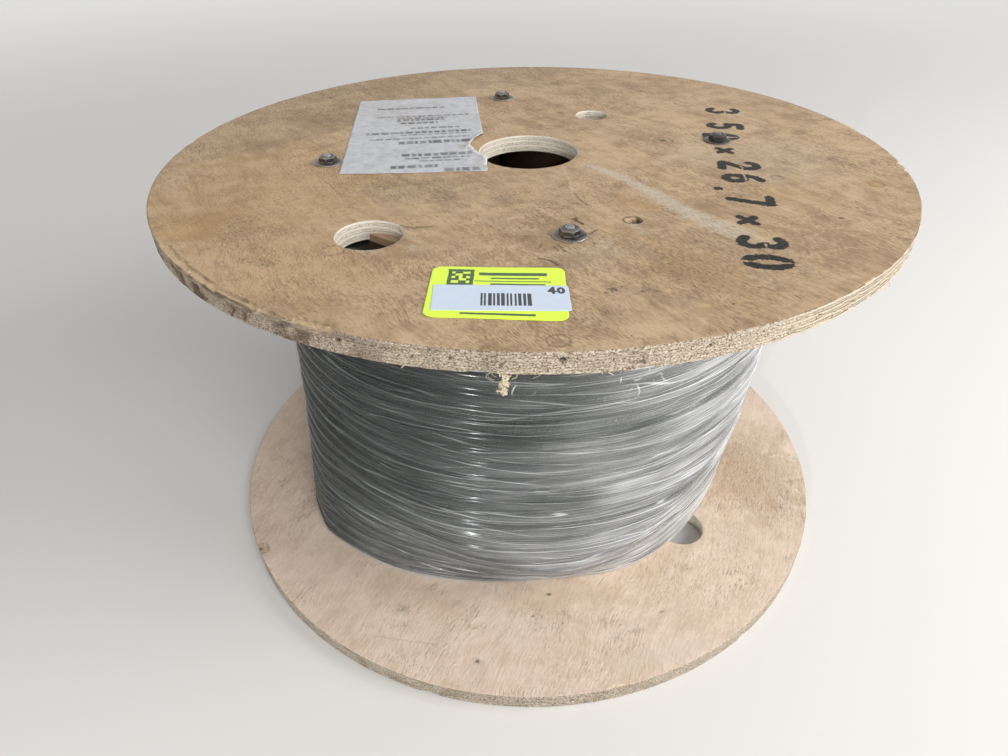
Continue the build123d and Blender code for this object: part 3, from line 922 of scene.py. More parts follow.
def makeBoard(settings, marks, low, high, materials):
    seed = settings["seed"]
    points, centres, faces, kinds = boardMesh(settings, low, high, finePatches(marks))
    x, y, z = points.T
    soilAndShade, warmStainAndBounce, pale, spots = paintBoard(points, marks, high, seed)
    ink = np.where(z > high - 1.0, stencilInk(x, y, marks["stencil"]) if marks["stencil"] else -9.0, -9.0)
    points, bare, dark = wearBoard(dentBoard(points, marks, high, settings), centres, settings, low, high)
    x, y, z = points.T
    if marks["knotHole"]:
        # painted shade: the inside of the knot hole is darkened
        hx, hy, flat = marks["knotHole"]
        dark = np.maximum(dark, fade(2.4, 3.6, np.hypot(x - hx, (y - hy) * flat)) * (z > high - 8) * 0.95)
    # the walls of the holes are drilled clean
    at, clean, soiled = np.array(settings["rimLook"], float).T
    angle = np.degrees(np.arctan2(y, x))
    drilled = centres[:, 2] < -0.5
    clean = np.where(drilled, 0.7, np.interp(angle, at, clean) + 0.12 * bumps(angle / 3, z / 6, 0, seed))
    soiled = np.where(drilled, 0.0, np.interp(angle, at, soiled))
    makePiece(settings["name"], points, faces, materials, settings["node"], {
        "sawCut": (np.clip(clean, 0, 1), soiled, 0.0), "stains": (soilAndShade, warmStainAndBounce, pale),
        "wearAndShade": (bare, np.maximum(dark, spots), np.clip(ink / 8 + 0.5, 0, 1))}, kinds)


def finePatches(marks):
    # Finer mesh where a mark or a hole has to be crisp: (x, y, angle, half length, half width, spacing)
    patches = []
    if marks["stencil"]:
        patches += [(x, y, *marks["stencil"]["patch"]) for sign, x, y in marks["stencil"]["signs"]]
    if marks["knotHole"]:
        patches.append(marks["knotHolePatch"])
    patches += [(x, y, 0, size + 3, size + 3, 0.85) for x, y, size, strength in marks["knots"]]
    patches += [(x, y, angle, long * 1.6 + 1.5, wide * 1.6 + 1.5, 0.75)
                for x, y, long, wide, angle, strength in marks["dots"]]
    for line, width, strength in marks["darkLines"] + marks["paleLines"]:
        for (ax, ay), (bx, by) in zip(line, line[1:]):
            half, angle = math.hypot(bx - ax, by - ay) / 2 + 1, math.degrees(math.atan2(by - ay, bx - ax))
            patches.append(((ax + bx) / 2, (ay + by) / 2, angle, half, 2.2, 0.8))
    return patches


makeBoard(upperBoard, upperMarks, upperLow.z, upperHigh.z, [agedVeneer, agedEdge, freshEdge])
makeBoard(lowerBoard, lowerMarks, lowerLow.z, lowerHigh.z, [paleVeneer, paleEdge, freshEdge])


def kraftNodes(tree):
    paper, height = useGroup(tree, paperFibre, (0.44, 0.30, 0.19, 1), 0.5)
    dirt, fine = useGroup(tree, grime, 30.0, 0.4, 0.3)
    seams = {"Vector": position(tree), "Scale": 2.6, "Distortion": 0.4}
    wraps = put(tree, "TexWave", "Fac", seams, bands_direction="Z")
    colour = blend(remap(wraps, 0.94, 1.0) * 0.4, paper, (0.24, 0.15, 0.09, 1))
    return {"Base Color": blend(dirt * 0.4, colour, (0.2, 0.14, 0.1, 1)),
            "Roughness": remap(fine, 0.3, 0.7, 0.7, 0.85),
            "Normal": bump(height, 0.4, 0.0003)}


kraftTube = makeMaterial("kraftTube", kraftNodes)
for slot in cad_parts["barrel"].material_slots:
    slot.material = kraftTube
print("cable drum: barrel finished")

winding = {
    "pitch": 11.5, "full": 187.0, "bore": 152.6, "low": 12.4, "high": 278.3, "around": 300, "perTurn": 8,
    # radius of the winding's foot by angle; it wanders because the turns slid while it was wound
    "foot": [(-180, 194), (-166, 200), (-155, 200.5), (-146, 193), (-137, 186), (-129, 180), (-121, 173.5),
             (-113, 168), (-105, 164), (-97, 160.5), (-90, 160), (-80, 163), (-69, 168), (-56, 168), (-44, 169),
             (-31, 173), (0, 173), (60, 166), (110, 168), (150, 182), (180, 194)],
    # how high the slope above the foot reaches, by angle
    "slope": [(-180, 165), (-135, 120), (-112, 60), (-90, 42), (-75, 60), (-52, 120), (-31, 165), (0, 140), (60, 60),
              (110, 50), (150, 120), (180, 165)],
}


def windingSurface(angle, z):
    # Radius of the hull over the turns, by angle in degrees and height
    foot = np.interp(angle, *np.array(winding["foot"], float).T)
    reach = np.interp(angle, *np.array(winding["slope"], float).T)
    part = np.clip(1 - (z - winding["low"]) / reach, 0, 1)
    sway = 0.8 * ringBumps(angle, 40, z / 60, 5)
    return winding["full"] + (foot - winding["full"]) * part ** 1.15 + sway - 0.8


def turnPhase(angle, z):
    # Counts turns up the winding. The turns climb a little as they go round, and cross over in places.
    wander = 0.16 * ringBumps(angle, 50, z / 30, 9) + 0.08 * ringBumps(angle, 16, z / 22, 19)
    return (z - winding["low"]) / winding["pitch"] - angle / 360.0 + wander


def roundPoints(radius, angle, z):
    turn = np.radians(angle)
    return np.stack([radius * np.cos(turn), radius * np.sin(turn), z], -1).reshape(-1, 3)


def cableNodes(tree):
    dirt, _ = useGroup(tree, grime, 35.0, 0.5, 0.3)
    waves = noise(position(tree), (50.0, 50.0, 90.0), 1.0)
    return {"Base Color": blend(dirt * 0.2, (0.007, 0.010, 0.009, 1), (0.030, 0.033, 0.030, 1)),
            "Roughness": remap(dirt, 0.0, 1.0, 0.16, 0.30), "Specular IOR Level": 0.22,
            "Normal": bump(waves, 0.15, 0.0012)}


def makeWinding():
    count = winding["around"]
    rows = int((winding["high"] - winding["low"]) / winding["pitch"] * winding["perTurn"])
    A, Z = np.meshgrid(np.arange(count) * 360 / count - 180, np.linspace(winding["low"], winding["high"], rows))
    phase = turnPhase(A, Z)
    each = np.floor(phase)
    lift = np.sqrt(np.clip(1 - (2 * (phase - each) - 1) ** 2, 0, 1))
    r = windingSurface(A, Z) - 0.7 - winding["pitch"] / 2 * (1 - lift) * 0.9
    r = r + 0.5 * bumps((A + 360 * each) / 12, 0.5, 0.5, 31)
    points = roundPoints(r, A, Z)
    faces = loopFaces(rows, count).tolist()
    # close the ends down to the bore
    bore = [np.roll(circle(count, winding["bore"], z=winding[end]), count // 2, axis=0) for end in ("low", "high")]
    start, last = len(points), (rows - 1) * count
    across = np.arange(count)
    after = (across + 1) % count
    for quad in ((start + across, start + after, after, across),
                 (last + across, last + after, start + count + after, start + count + across),
                 (start + across, start + count + across, start + count + after, start + after)):
        faces += np.stack(quad, 1).tolist()
    makePiece("blackCableTurns", np.concatenate([points] + bore), faces, [makeMaterial("blackCable", cableNodes)],
              "cable_winding")


film = {
    "around": 360, "rows": 270, "gap": 0.35, "seed": 77,
    "wrinkles": 320, "crossing": 30, "crossingHeights": (120, 270),
    # haze of the film by angle, near the top, half way up and near the foot, with painted light in it: clear and dark
    # on the left and milky and bright on the right, where the light falls, and clearer near the top at the front, in
    # the upper board's shade
    "hazeAndPaintedLight": [(-180, 0.010, 0.010, 0.03), (-152, 0.012, 0.018, 0.09), (-135, 0.020, 0.035, 0.15),
             (-120, 0.030, 0.075, 0.22), (-108, 0.055, 0.140, 0.26), (-96, 0.115, 0.22, 0.29),
             (-84, 0.19, 0.28, 0.34), (-72, 0.28, 0.35, 0.41), (-60, 0.36, 0.42, 0.49), (-48, 0.40, 0.46, 0.51),
             (-35, 0.42, 0.48, 0.52), (0, 0.42, 0.44, 0.46), (60, 0.30, 0.28, 0.34), (120, 0.14, 0.12, 0.18),
             (180, 0.010, 0.010, 0.03)],
    "heights": (25, 140, 262),
    # helical wraps of the film that cross the turns: (rise of one wrap in mm, how many start round the drum)
    "wraps": [(9.5, 13), (14.0, -8)],
    # where the film is scratched: (angle, height, half width in degrees, half height)
    "scratched": [(-79, 236, 9, 30), (-62, 232, 8, 24), (-92, 250, 10, 14), (-50, 240, 3, 44), (-101, 224, 7, 10)],
    "tucked": (276, 187.6),  # above this height it stays inside this radius, under the upper board
    # families of fine lines, four along the turns and one along each wrap:
    # (lines to a step, sway, stretch, low, high, how they fade out, strength)
    "lines": [
        (2.0, 3.0, (6.0, 6.0, 0.8), 0.84, 0.98, ((9.0, 9.0, 1.1), 0.42, 0.60, 0.10), 1.0),
        (3.0, 4.6, (5.0, 5.0, 1.1), 0.84, 0.98, ((13.0, 13.0, 1.6), 0.46, 0.62, 0.0), 0.9),
        (7.0, 6.5, (7.0, 7.0, 1.0), 0.70, 0.96, ((10.0, 10.0, 0.8), 0.42, 0.64, 0.08), 0.6),
        (12.0, 8.0, (9.0, 9.0, 1.3), 0.62, 0.95, ((12.0, 12.0, 1.3), 0.42, 0.60, 0.10), 0.45),
        (1.0, 1.6, (5.0, 5.0, 0.4), 0.88, 0.99, ((7.0, 7.0, 0.7), 0.47, 0.62, 0.0), 0.8),
        (1.0, 1.8, (5.0, 5.0, 0.4), 0.90, 0.99, ((7.0, 7.0, 0.6), 0.49, 0.64, 0.0), 0.7),
    ],
}


def makeFilm():
    rng = np.random.default_rng(film["seed"])
    count, rows = film["around"], film["rows"]
    low, high = winding["low"], winding["high"]
    A, Z = np.meshgrid(np.linspace(-180, 180, count + 1), np.linspace(low - 0.1, high, rows))
    phase = turnPhase(A, Z)
    each = np.floor(phase)
    along = A + 360 * each
    # the film is drawn tight over each turn and dips a little between them
    dip = (np.abs(phase - each - 0.5) * 2) ** 3
    slack = 1.2 + 0.6 * bumps(along / 25, 0.5, 0.5, 4)
    r = windingSurface(A, Z) + film["gap"] + 0.5 * bumps(along / 12, 0.5, 0.5, 31) * (1 - dip) - dip * slack
    streak = np.zeros_like(r)
    for i in range(film["wrinkles"] + film["crossing"]):
        crossing = i >= film["wrinkles"]
        at, half = rng.uniform(-180, 180), rng.uniform(10, 60)
        level = rng.uniform(low + 4, high)
        slope = rng.uniform(-0.8, 0.8) if crossing else rng.normal(0, 0.03)
        if crossing:
            half, level = rng.uniform(4, 14), rng.uniform(*film["crossingHeights"])
        width = rng.uniform(0.65, 1.4)
        size = rng.uniform(0.1, 0.55) * (0.6 if crossing else 1.0)
        away = turnGap(A, at)
        bend = rng.normal(0, 2.0) * (away / half) ** 2
        gap = Z - level - slope * away - bend
        shape = np.exp(-(gap / width) ** 2) * fade(0.5, 1.0, np.abs(away) / half)
        r += shape * size
        streak += shape * size
    r += 0.10 * ringBumps(A, 6, Z / 3.0, 6)
    height, radius = film["tucked"]
    r = np.where(Z > height, np.minimum(r, radius), r)
    # painted light: the table makes the film bright on the right, dark on the left and darker near the top at the
    # front
    at, *table = np.array(film["hazeAndPaintedLight"], float).T
    upper, middle, lower = [np.interp(A, at, column) for column in table]
    foot, half, head = film["heights"]
    hazeAndPaintedLight = lower + (middle - lower) * ease(foot, half, Z)
    hazeAndPaintedLight = np.where(Z < half, hazeAndPaintedLight, middle + (upper - middle) * ease(half, head, Z))
    hazeAndPaintedLight *= 1 + 0.20 * ringBumps(A, 9, Z / 14, 8) + 0.16 * ringBumps(A, 25, Z / 5.5, 18)
    hazeAndPaintedLight *= 1 - 0.4 * ease(0.15, 0.6, ringBumps(A, 16, Z / 26, 12))
    hazeAndPaintedLight = np.clip(hazeAndPaintedLight * (1.0 + 0.35 * streak) + 0.12 * fade(13, 17, Z), 0.004, 0.92)
    scratched = np.zeros_like(hazeAndPaintedLight)
    for at, level, half, tall in film["scratched"]:
        scratched = np.maximum(scratched, fade(0.5, 1.2, np.hypot((A - at) / half, (Z - level) / tall)))
    wraps = [(Z / rise + starts * A / 360).ravel() for rise, starts in film["wraps"]]
    makePiece("stretchFilmWrap", roundPoints(r, A, Z), loopFaces(rows, count + 1, loop=False).tolist(),
              [makeMaterial("clearFilm", filmNodes)], "stretch_film",
              {"hazeAndPaintedLight": (hazeAndPaintedLight.ravel(), scratched.ravel(), phase.ravel()), "wraps": (*wraps, 0.0)})


def filmNodes(tree):
    place = position(tree)
    hazeAndPaintedLight, scratched, turns = pointValues(tree, "hazeAndPaintedLight")
    firstWrap, secondWrap, _ = pointValues(tree, "wraps")
    # heights counted in turns, so that noise can be drawn out along them
    flow = vector("MULTIPLY", place, (1.0, 1.0, 1 / (winding["pitch"] * mm)))

    def crests(phase, perTurn, sway, stretch):
        # rises to 1 at whole steps of the phase, so many to a turn, that sway up and down
        wave = calc("FRACT", phase * perTurn + (noise(flow, stretch, 2.0, 0.5) - 0.5) * sway)
        return 1.0 - abs(wave * 2.0 - 1.0)

    def fading(stretch, low, high, least):
        return remap(noise(flow, stretch), low, high, least, 1.0)

    lines = 0.0
    for phase, (perTurn, sway, stretch, low, high, fadeOut, strength) in zip(
            (turns, turns, turns, turns, firstWrap, secondWrap), film["lines"]):
        lines = lines + remap(crests(phase, perTurn, sway, stretch), low, high) * fading(*fadeOut) * strength
    # painted shading of the turns: the veil is lighter along each turn's crest and darker between them
    swell = crests(turns, 1.0, 1.6, (6.0, 6.0, 0.5))
    veil = hazeAndPaintedLight * fading((14.0, 14.0, 0.6), 0.36, 0.64, 0.65) * remap(swell, 0.0, 1.0, 0.7, 1.25)
    # fine scratches loop over part of the film
    loops = calc("FRACT", noise(place, (34.0, 34.0, 40.0), 1.0, 0.4) * 7.0)
    loops = remap(abs(loops - 0.5), 0.085, 0.02) * scratched * remap(noise(place, 90.0, 2.0), 0.44, 0.58)
    alpha = calc("ADD", veil + lines * (hazeAndPaintedLight * 1.15 + 0.175), loops * 0.8, clamp=True)
    # dull where it is hazy, and glossy in long patches along the turns
    gloss = noise(flow, (16.0, 16.0, 0.9), 2.0) + hazeAndPaintedLight * 0.25
    # the film is painted whiter where its haze and painted light are stronger
    return {"Base Color": blend(remap(hazeAndPaintedLight, 0.04, 0.30), (0.60, 0.64, 0.63, 1), (0.82, 0.83, 0.84, 1)),
            "Roughness": remap(gloss, 0.46, 0.64, 0.07, 0.28), "Specular IOR Level": 0.5, "Alpha": alpha,
            "Normal": bump(lines, 0.5, 0.0007)}


makeWinding()
makeFilm()


def cutSheet(outline, spacing, seed):
    # Points and triangles of a flat sheet with this outline, and how many of the points are on its edge
    line = np.asarray(outline, float)
    dense = []
    for a, b in zip(line, np.roll(line, -1, axis=0)):
        steps = max(1, int(np.hypot(*(b - a)) / spacing))
        dense += [a + (b - a) * k / steps for k in range(steps)]
    dense = np.array(dense)
    middle = (line.min(0) + line.max(0)) / 2
    spots = hexGrid(spacing, np.abs(line - middle).max(), seed) + middle
    # keep the points inside the outline
    x, y = spots.T
    inside = np.zeros(len(spots), bool)
    for a, b in zip(dense, np.roll(dense, -1, axis=0)):
        inside ^= ((a[1] > y) != (b[1] > y)) & (x < a[0] + (y - a[1]) / (b[1] - a[1] + 1e-12) * (b[0] - a[0]))
    gap, _ = alongLine(x, y, np.concatenate([dense, dense[:1]]))
    flat = np.concatenate([dense, spots[inside & (gap > spacing * 0.5)]])
    return flat, flatTriangles(flat, [], [list(range(len(dense)))])[0], len(dense)


def makeSheet(name, settings, flat, triangles, edgeCount, lift, printing, stain=0.0, white=0.0):
    # Gives a sheet its thickness, with the top at lift, and its printing, stains and bare paper
    top = np.column_stack([flat, lift])
    count = len(flat)
    index = np.arange(edgeCount)
    after = (index + 1) % edgeCount
    rim = np.stack([index, index + count, after + count, after], 1)
    area = 0.5 * np.sum(flat[index, 0] * flat[after, 1] - flat[after, 0] * flat[index, 1])
    if area < 0:
        rim = rim[:, ::-1]
    faces = triangles.tolist() + (triangles[:, ::-1] + count).tolist() + rim.tolist()
    marks = np.zeros((3, 2 * count))
    for row, value in zip(marks, (printing, stain, white)):
        row[:count] = value
    material = makeMaterial(settings["material"], paperNodes, *settings["look"])
    makePiece(name, np.concatenate([top, top - np.array([0, 0, settings["thickness"]])]), faces, [material],
              settings["node"], {"printing": marks})


def paperNodes(tree, tint, ink, roughness, mottle, coat=0.0, crisp=False, glow=None):
    paper, height = useGroup(tree, paperFibre, tint, mottle)
    dirt, fine = useGroup(tree, grime, 45.0, 0.5, 0.25)
    printing, stain, white = pointValues(tree, "printing")
    colour = blend(dirt * (0.3 * mottle / 0.35), paper, (0.42, 0.38, 0.33, 1))
    inked = remap(printing, 0.28, 0.45) if crisp else printing * remap(fine, 0.35, 0.6, 0.7, 1.0)
    colour = blend(inked, colour, ink)
    colour = blend(stain, colour, (0.38, 0.27, 0.14, 1))
    surface = {"Base Color": blend(white, colour, (0.90, 0.90, 0.89, 1)),
               "Roughness": remap(dirt, 0.0, 1.0, roughness, roughness + 0.15),
               "Normal": bump(height, 0.25, 0.00015), "Coat Weight": coat, "Coat Roughness": 0.25}
    if glow:
        surface |= {"Emission Color": blend(inked, glow, (0.0, 0.0, 0.0, 1)), "Emission Strength": 0.10}
    return surface


def inBox(u, v, left, bottom, right, top):
    # Depth inside a box, in millimetres
    return np.minimum(np.minimum(u - left, right - u), np.minimum(v - bottom, top - v))


label = {
    "outline": [(-123, 151), (-132.3, -25), (-110, -27.8), (-80, -30.6), (-33.2, -35), (-32.4, -22), (-31.2, -14),
                (-31.0, -9), (-33.5, -6), (-35.6, -1), (-36.6, 3), (-38.6, 7), (-38.2, 11), (-40.4, 16), (-39.4, 21),
                (-37.6, 26), (-35.2, 31), (-31.8, 36.5), (-30.0, 41), (-27.6, 44), (-25.4, 95), (-22.6, 149),
                (-60, 149.6), (-95, 150.6)],
    "rows": [(122, -108, -52, 3.0, 0.55), (98, -108, -34, 2.6, 0.5), (93, -92, -52, 3.0, 0.55),
             (88, -92, -54, 3.6, 0.6), (80, -90, -60, 3.4, 0.6), (66, -82, -44, 2.8, 0.6), (56, -116, -36, 3.6, 0.7),
             (50, -90, -40, 2.4, 0.45), (42, -114, -38, 2.6, 0.45), (32, -92, -38, 4.6, 0.75),
             (4, -90, -40, 4.0, 0.8), (-3, -88, -42, 2.6, 0.55), (-9, -78, -48, 2.4, 0.5), (-19, -98, -66, 4.0, 0.8),
             (-29, -62, -38, 5.0, 0.9)],
    "turn": -3.0, "thickness": 0.16, "seed": 41,
    "spacing": 0.95, "node": "paper_label", "slot": "white_paper", "material": "wornPaper",
    # tint, print, roughness and mottle, and for the other sheets the coat, crisp printing and a glow
    "look": ((0.60, 0.62, 0.665, 1), (0.040, 0.040, 0.046, 1), 0.62, 0.5),
    "stains": [(-104, 120, 34, 30, 0, 0.10), (-85, 97, 12, 24, 10, 0.20), (-64, 108, 10, 20, 0, 0.10),
               (-45, 16, 5, 6, 0, 0.35), (-37, -12, 3, 6, 0, 0.3)],
    "tornEdge": [(-27.6, 44), (-30.0, 41), (-35.2, 31), (-39.4, 21), (-40.4, 16), (-38.2, 11), (-36.6, 3),
                 (-31.0, -9), (-32.4, -22)],
    "crease": [(-30, 40), (-36, 30), (-42, 20), (-44, 8)],
}


def makeLabel():
    flat, triangles, count = cutSheet(label["outline"], label["spacing"], label["seed"])
    x, y = flat.T
    rng = np.random.default_rng(label["seed"])
    # rows of worn, unreadable print: dashes of uneven length
    slope = math.tan(math.radians(-label["turn"] - 5.5))
    printing = np.zeros(len(flat))
    for level, left, right, tall, strength in label["rows"]:
        at, tall, strength = left, tall * 1.45, min(1.0, strength * 1.6)
        while at < right:
            long = rng.uniform(2.0, 7.0)
            tilt = level + slope * (x - (left + right) / 2) * 0.5
            depth = inBox(x, y - tilt + level, at, level - tall / 2, min(at + long, right), level + tall / 2)
            ragged = depth + 0.35 * bumps(x / 1.1, y / 1.1, level, 51)
            printing = np.maximum(printing, strength * rng.uniform(0.6, 1.0) * ease(-0.35, 0.45, ragged))
            at += long + rng.uniform(0.7, 1.5)
    rim, _ = alongLine(x, y, label["tornEdge"])
    crease, _ = alongLine(x, y, label["crease"])
    white = np.maximum(fade(0.6, 2.2, rim + 0.7 * bumps(x / 2, y / 2, 0, 53)) * 0.8, fade(0.3, 1.2, crease) * 0.5)
    # lies on the board in soft waves, and the torn edge curls up
    lift = upperHigh.z + 0.20 + 0.10 * bumps(x / 30, y / 22, 0, 54) + 0.05 * bumps(x / 8, y / 8, 1, 54)
    lift += 2.2 * fade(0, 7, rim) ** 2 * (0.6 + 0.4 * bumps(y / 6, 0, 0, 55)) * ease(-20, -5, y) * fade(40, 46, y)
    edgeGap, _ = alongLine(x, y, label["outline"] + label["outline"][:1])
    lift += 0.25 * fade(0, 3, edgeGap) * np.clip(0.3 + bumps(x / 18, y / 18, 2, 56), 0, 1)
    makeSheet("tornPaperLabel", label, flat, triangles, count, lift, printing, blobs(x, y, label["stains"], 52),
              white)


tag = {
    "corners": [(-77, -167), (-11, -179), (-19, -229), (-85, -215)], "size": (67.0, 50.0), "corner": 4.5,
    "thickness": 0.22, "seed": 61,
    # plain ruling where a printed heading was: (left, bottom, right, top, strength)
    "bars": [(24, 41.0, 58, 44.2, 1.0), (30, 37.4, 54, 39.0, 0.9), (22, 34.6, 60, 35.7, 0.7),
             (30, 30.6, 57, 33.0, 0.95), (17, 3.2, 52, 5.0, 0.9)],
    "box": (8.5, 30.6, 21.5, 47.0),
    "cells": ["#######", "#.##..#", "##..###", "#.#.#.#", "###..##", "#..##.#", "#######"],
    "spacing": 0.5, "node": "yellow_tag", "slot": "yellow_paper", "material": "fluorescentCard",
    "look": ((0.72, 1.0, 0.045, 1), (0.030, 0.080, 0.015, 1), 0.42, 0.08, 0.25, True, (0.7, 1.0, 0.02, 1)),
}
sticker = {
    "corners": [(-78, -186), (-13, -197.5), (-16, -221), (-81, -210)], "size": (66.0, 24.0), "corner": 1.2,
    "thickness": 0.12, "seed": 62,
    # bars of uneven width: (bottom, top, first left edge), then the width of each bar and of the gap after it
    "barsAt": (4.5, 16.0, 23.5),
    "bars": [(0.9, 0.7), (0.9, 1.1), (1.7, 0.7), (0.9, 0.9), (1.3, 0.7), (1.7, 0.9), (0.9, 0.8), (0.9, 1.2),
             (0.9, 0.8), (1.5, 0.9), (1.3, 0.7), (1.9, 0.0)],
    "number": "40", "numberAt": (60.0, 19.2, 5.6),
    "spacing": 0.42, "node": "white_sticker", "slot": "white_paper", "material": "glossyLabelStock",
    "look": ((0.64, 0.74, 0.88, 1), (0.006, 0.006, 0.010, 1), 0.4, 0.06, 0.3, True),
}
numberStrokes = {
    "4": [[(0.12, -0.5), (0.12, 0.5)], [(0.10, 0.46), (-0.26, -0.16)], [(-0.26, -0.18), (0.28, -0.18)]],
    "0": [arcLine(0, 0, 0.23, 0.43, 0, 360, 24)],
}


def tagSheet(settings):
    # A sheet with round corners: its own flat points, and their places between its four corners on the board
    width, height = settings["size"]
    corner = settings["corner"]
    line = []
    for cx, cy, start in ((width - corner, height - corner, 0), (corner, height - corner, 90),
                          (corner, corner, 180), (width - corner, corner, 270)):
        line += arcLine(cx, cy, corner, corner, start, start + 90, 8)
    flat, triangles, count = cutSheet(line, settings["spacing"], settings["seed"])
    tl, tr, br, bl = [np.array(c, float) for c in settings["corners"]]
    u, v = (flat / settings["size"]).T[..., None]
    place = (bl * (1 - u) + br * u) * (1 - v) + (tl * (1 - u) + tr * u) * v
    x, y = place.T
    # the tag bows slightly off the board between its corners
    bow = 0.18 + 0.14 * bumps(x / 22 + 3, y / 16, 0, 63) + 0.05 * bumps(x / 6, y / 6, 1, 63)
    return flat, place, triangles, count, upperHigh.z + 0.24 + bow


def makeTag():
    flat, place, triangles, count, lift = tagSheet(tag)
    u, v = flat.T
    printing = np.zeros(len(flat))
    for left, bottom, right, top, strength in tag["bars"]:
        printing = np.maximum(printing, strength * ease(-0.2, 0.35, inBox(u, v, left, bottom, right, top)))
    left, bottom, right, top = tag["box"]
    filled = np.array([[sign == "#" for sign in line] for line in tag["cells"]], float)
    column, row = (u - left) / (right - left) * len(filled[0]), (top - v) / (top - bottom) * len(filled)
    inside = (column > 0) & (row > 0) & (column < len(filled[0])) & (row < len(filled))
    column, row = [np.clip(np.floor(value).astype(int), 0, len(filled) - 1) for value in (column, row)]
    printing = np.maximum(printing, inside * filled[row, column])
    # both lower corners curl up a little
    lift = lift + 0.5 * fade(0, 7, np.hypot(u, v)) + 0.35 * fade(0, 6, np.hypot(u - tag["size"][0], v))
    makeSheet("yellowTagSheet", tag, place, triangles, count, lift, printing)


def makeSticker():
    flat, place, triangles, count, lift = tagSheet(sticker)
    u, v = flat.T
    printing = np.zeros(len(flat))
    bottom, top, at = sticker["barsAt"]
    for wide, gap in sticker["bars"]:
        printing = np.maximum(printing, ease(-0.2, 0.25, inBox(u, v, at, bottom, at + wide, top)))
        at += wide + gap
    nx, ny, tall = sticker["numberAt"]
    for k, sign in enumerate(sticker["number"]):
        for stroke in numberStrokes[sign]:
            gap, _ = alongLine((u - nx - (k - 0.5) * tall * 0.78) / tall, (v - ny) / tall, stroke)
            printing = np.maximum(printing, ease(-0.2, 0.25, 0.72 - gap * tall))
    lift = lift + 0.16 + 0.06 * bumps(place[:, 0] / 5, place[:, 1] / 5, 0, 64)
    makeSheet("whiteStickerSheet", sticker, place, triangles, count, lift, printing)


makeLabel()
makeTag()
makeSticker()

fastener = {
    "bolt": 6.35, "threadPitch": 1.27, "threadDepth": 0.3, "head": (24.0, 2.4),
    "washer": (20.0, 6.95), "nut": (11.11, 6.45), "turns": (14.0, 41.0, -8.0, 3.0),
    "threadFrom": 262.0,  # height of the thread's lower end above the underside
}
washerThick, nutTall = [(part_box(node)[1].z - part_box(node)[0].z) * 1000 for node in ("washers", "nuts")]


def steelNodes(tree, rust):
    dirt, fine = useGroup(tree, grime, 120.0, 0.8, 0.5)
    spots, _ = useGroup(tree, grime, 260.0, rust, rust * 0.6)
    # how bright its painted highlight is, how rusty and how much painted over each place is
    shineAmount, rustAndShade, painted = pointValues(tree, "paintedShine")
    shineAmount = shineAmount * remap(fine, 0.36, 0.52, 0.3, 1.0)
    # rust spots, and rust with painted shade on the left side of each washer and nut
    rustAndShade = calc("ADD", spots, rustAndShade * remap(fine, 0.34, 0.56, 0.4, 1.0), clamp=True)
    painted = painted * remap(fine, 0.36, 0.50, 0.5, 1.0)
    colour = blend(dirt, (0.066, 0.068, 0.065, 1), (0.020, 0.021, 0.019, 1))
    colour = blend(rustAndShade, colour, (0.12, 0.062, 0.034, 1))
    # painted highlight: the edges are coloured bright steel
    colour = blend(shineAmount, colour, (0.50, 0.51, 0.49, 1))
    return {"Base Color": blend(painted, colour, (0.016, 0.018, 0.016, 1)),
            "Metallic": remap(calc("MAXIMUM", rustAndShade, painted), 0.0, 1.0, 0.92, 0.15),
            "Roughness": remap(dirt, 0.0, 1.0, 0.34, 0.62), "Normal": bump(fine, 0.3, 0.00025)}


def joinParts(parts):
    # One list of points, one of faces and one of whatever each part has at its points
    points, faces, values = zip(*parts)
    starts = np.cumsum([0] + [len(part) for part in points])
    joined = [[i + start for i in face] for start, part in zip(starts.tolist(), faces) for face in part]
    return np.concatenate(points), joined, np.concatenate(values)


def washerPart(centre, base):
    # Dished, and only its outer edge shines, with a painted highlight
    (outer, hole), thick, count = fastener["washer"], washerThick, 72
    R, r = outer / 2, hole / 2
    profile = [(r + 0.25, 0), (R - 0.3, 0), (R, 0.18), (R - 0.02, 0.34), (R - 0.22, 0.52), (R - 0.6, 0.62),
               (R - 2.2, thick - 0.20), (R - 3.4, thick - 0.03), (r + 0.5, thick - 0.01), (r + 0.12, thick - 0.1),
               (r, thick - 0.4), (r, 0.2), (r + 0.25, 0)]
    shine = [0, 0, 0.5, 0.9, 1.0, 0.35, 0, 0, 0, 0, 0, 0, 0]
    marks = bumps(np.tile(np.arange(count) / 9.0, len(shine)), centre[0], centre[1], 71)
    paintedShine = np.repeat(shine, count) * (0.55 + 0.45 * marks)
    return turnedPoints(profile, count, centre, base), loopFaces(len(profile), count).tolist(), paintedShine


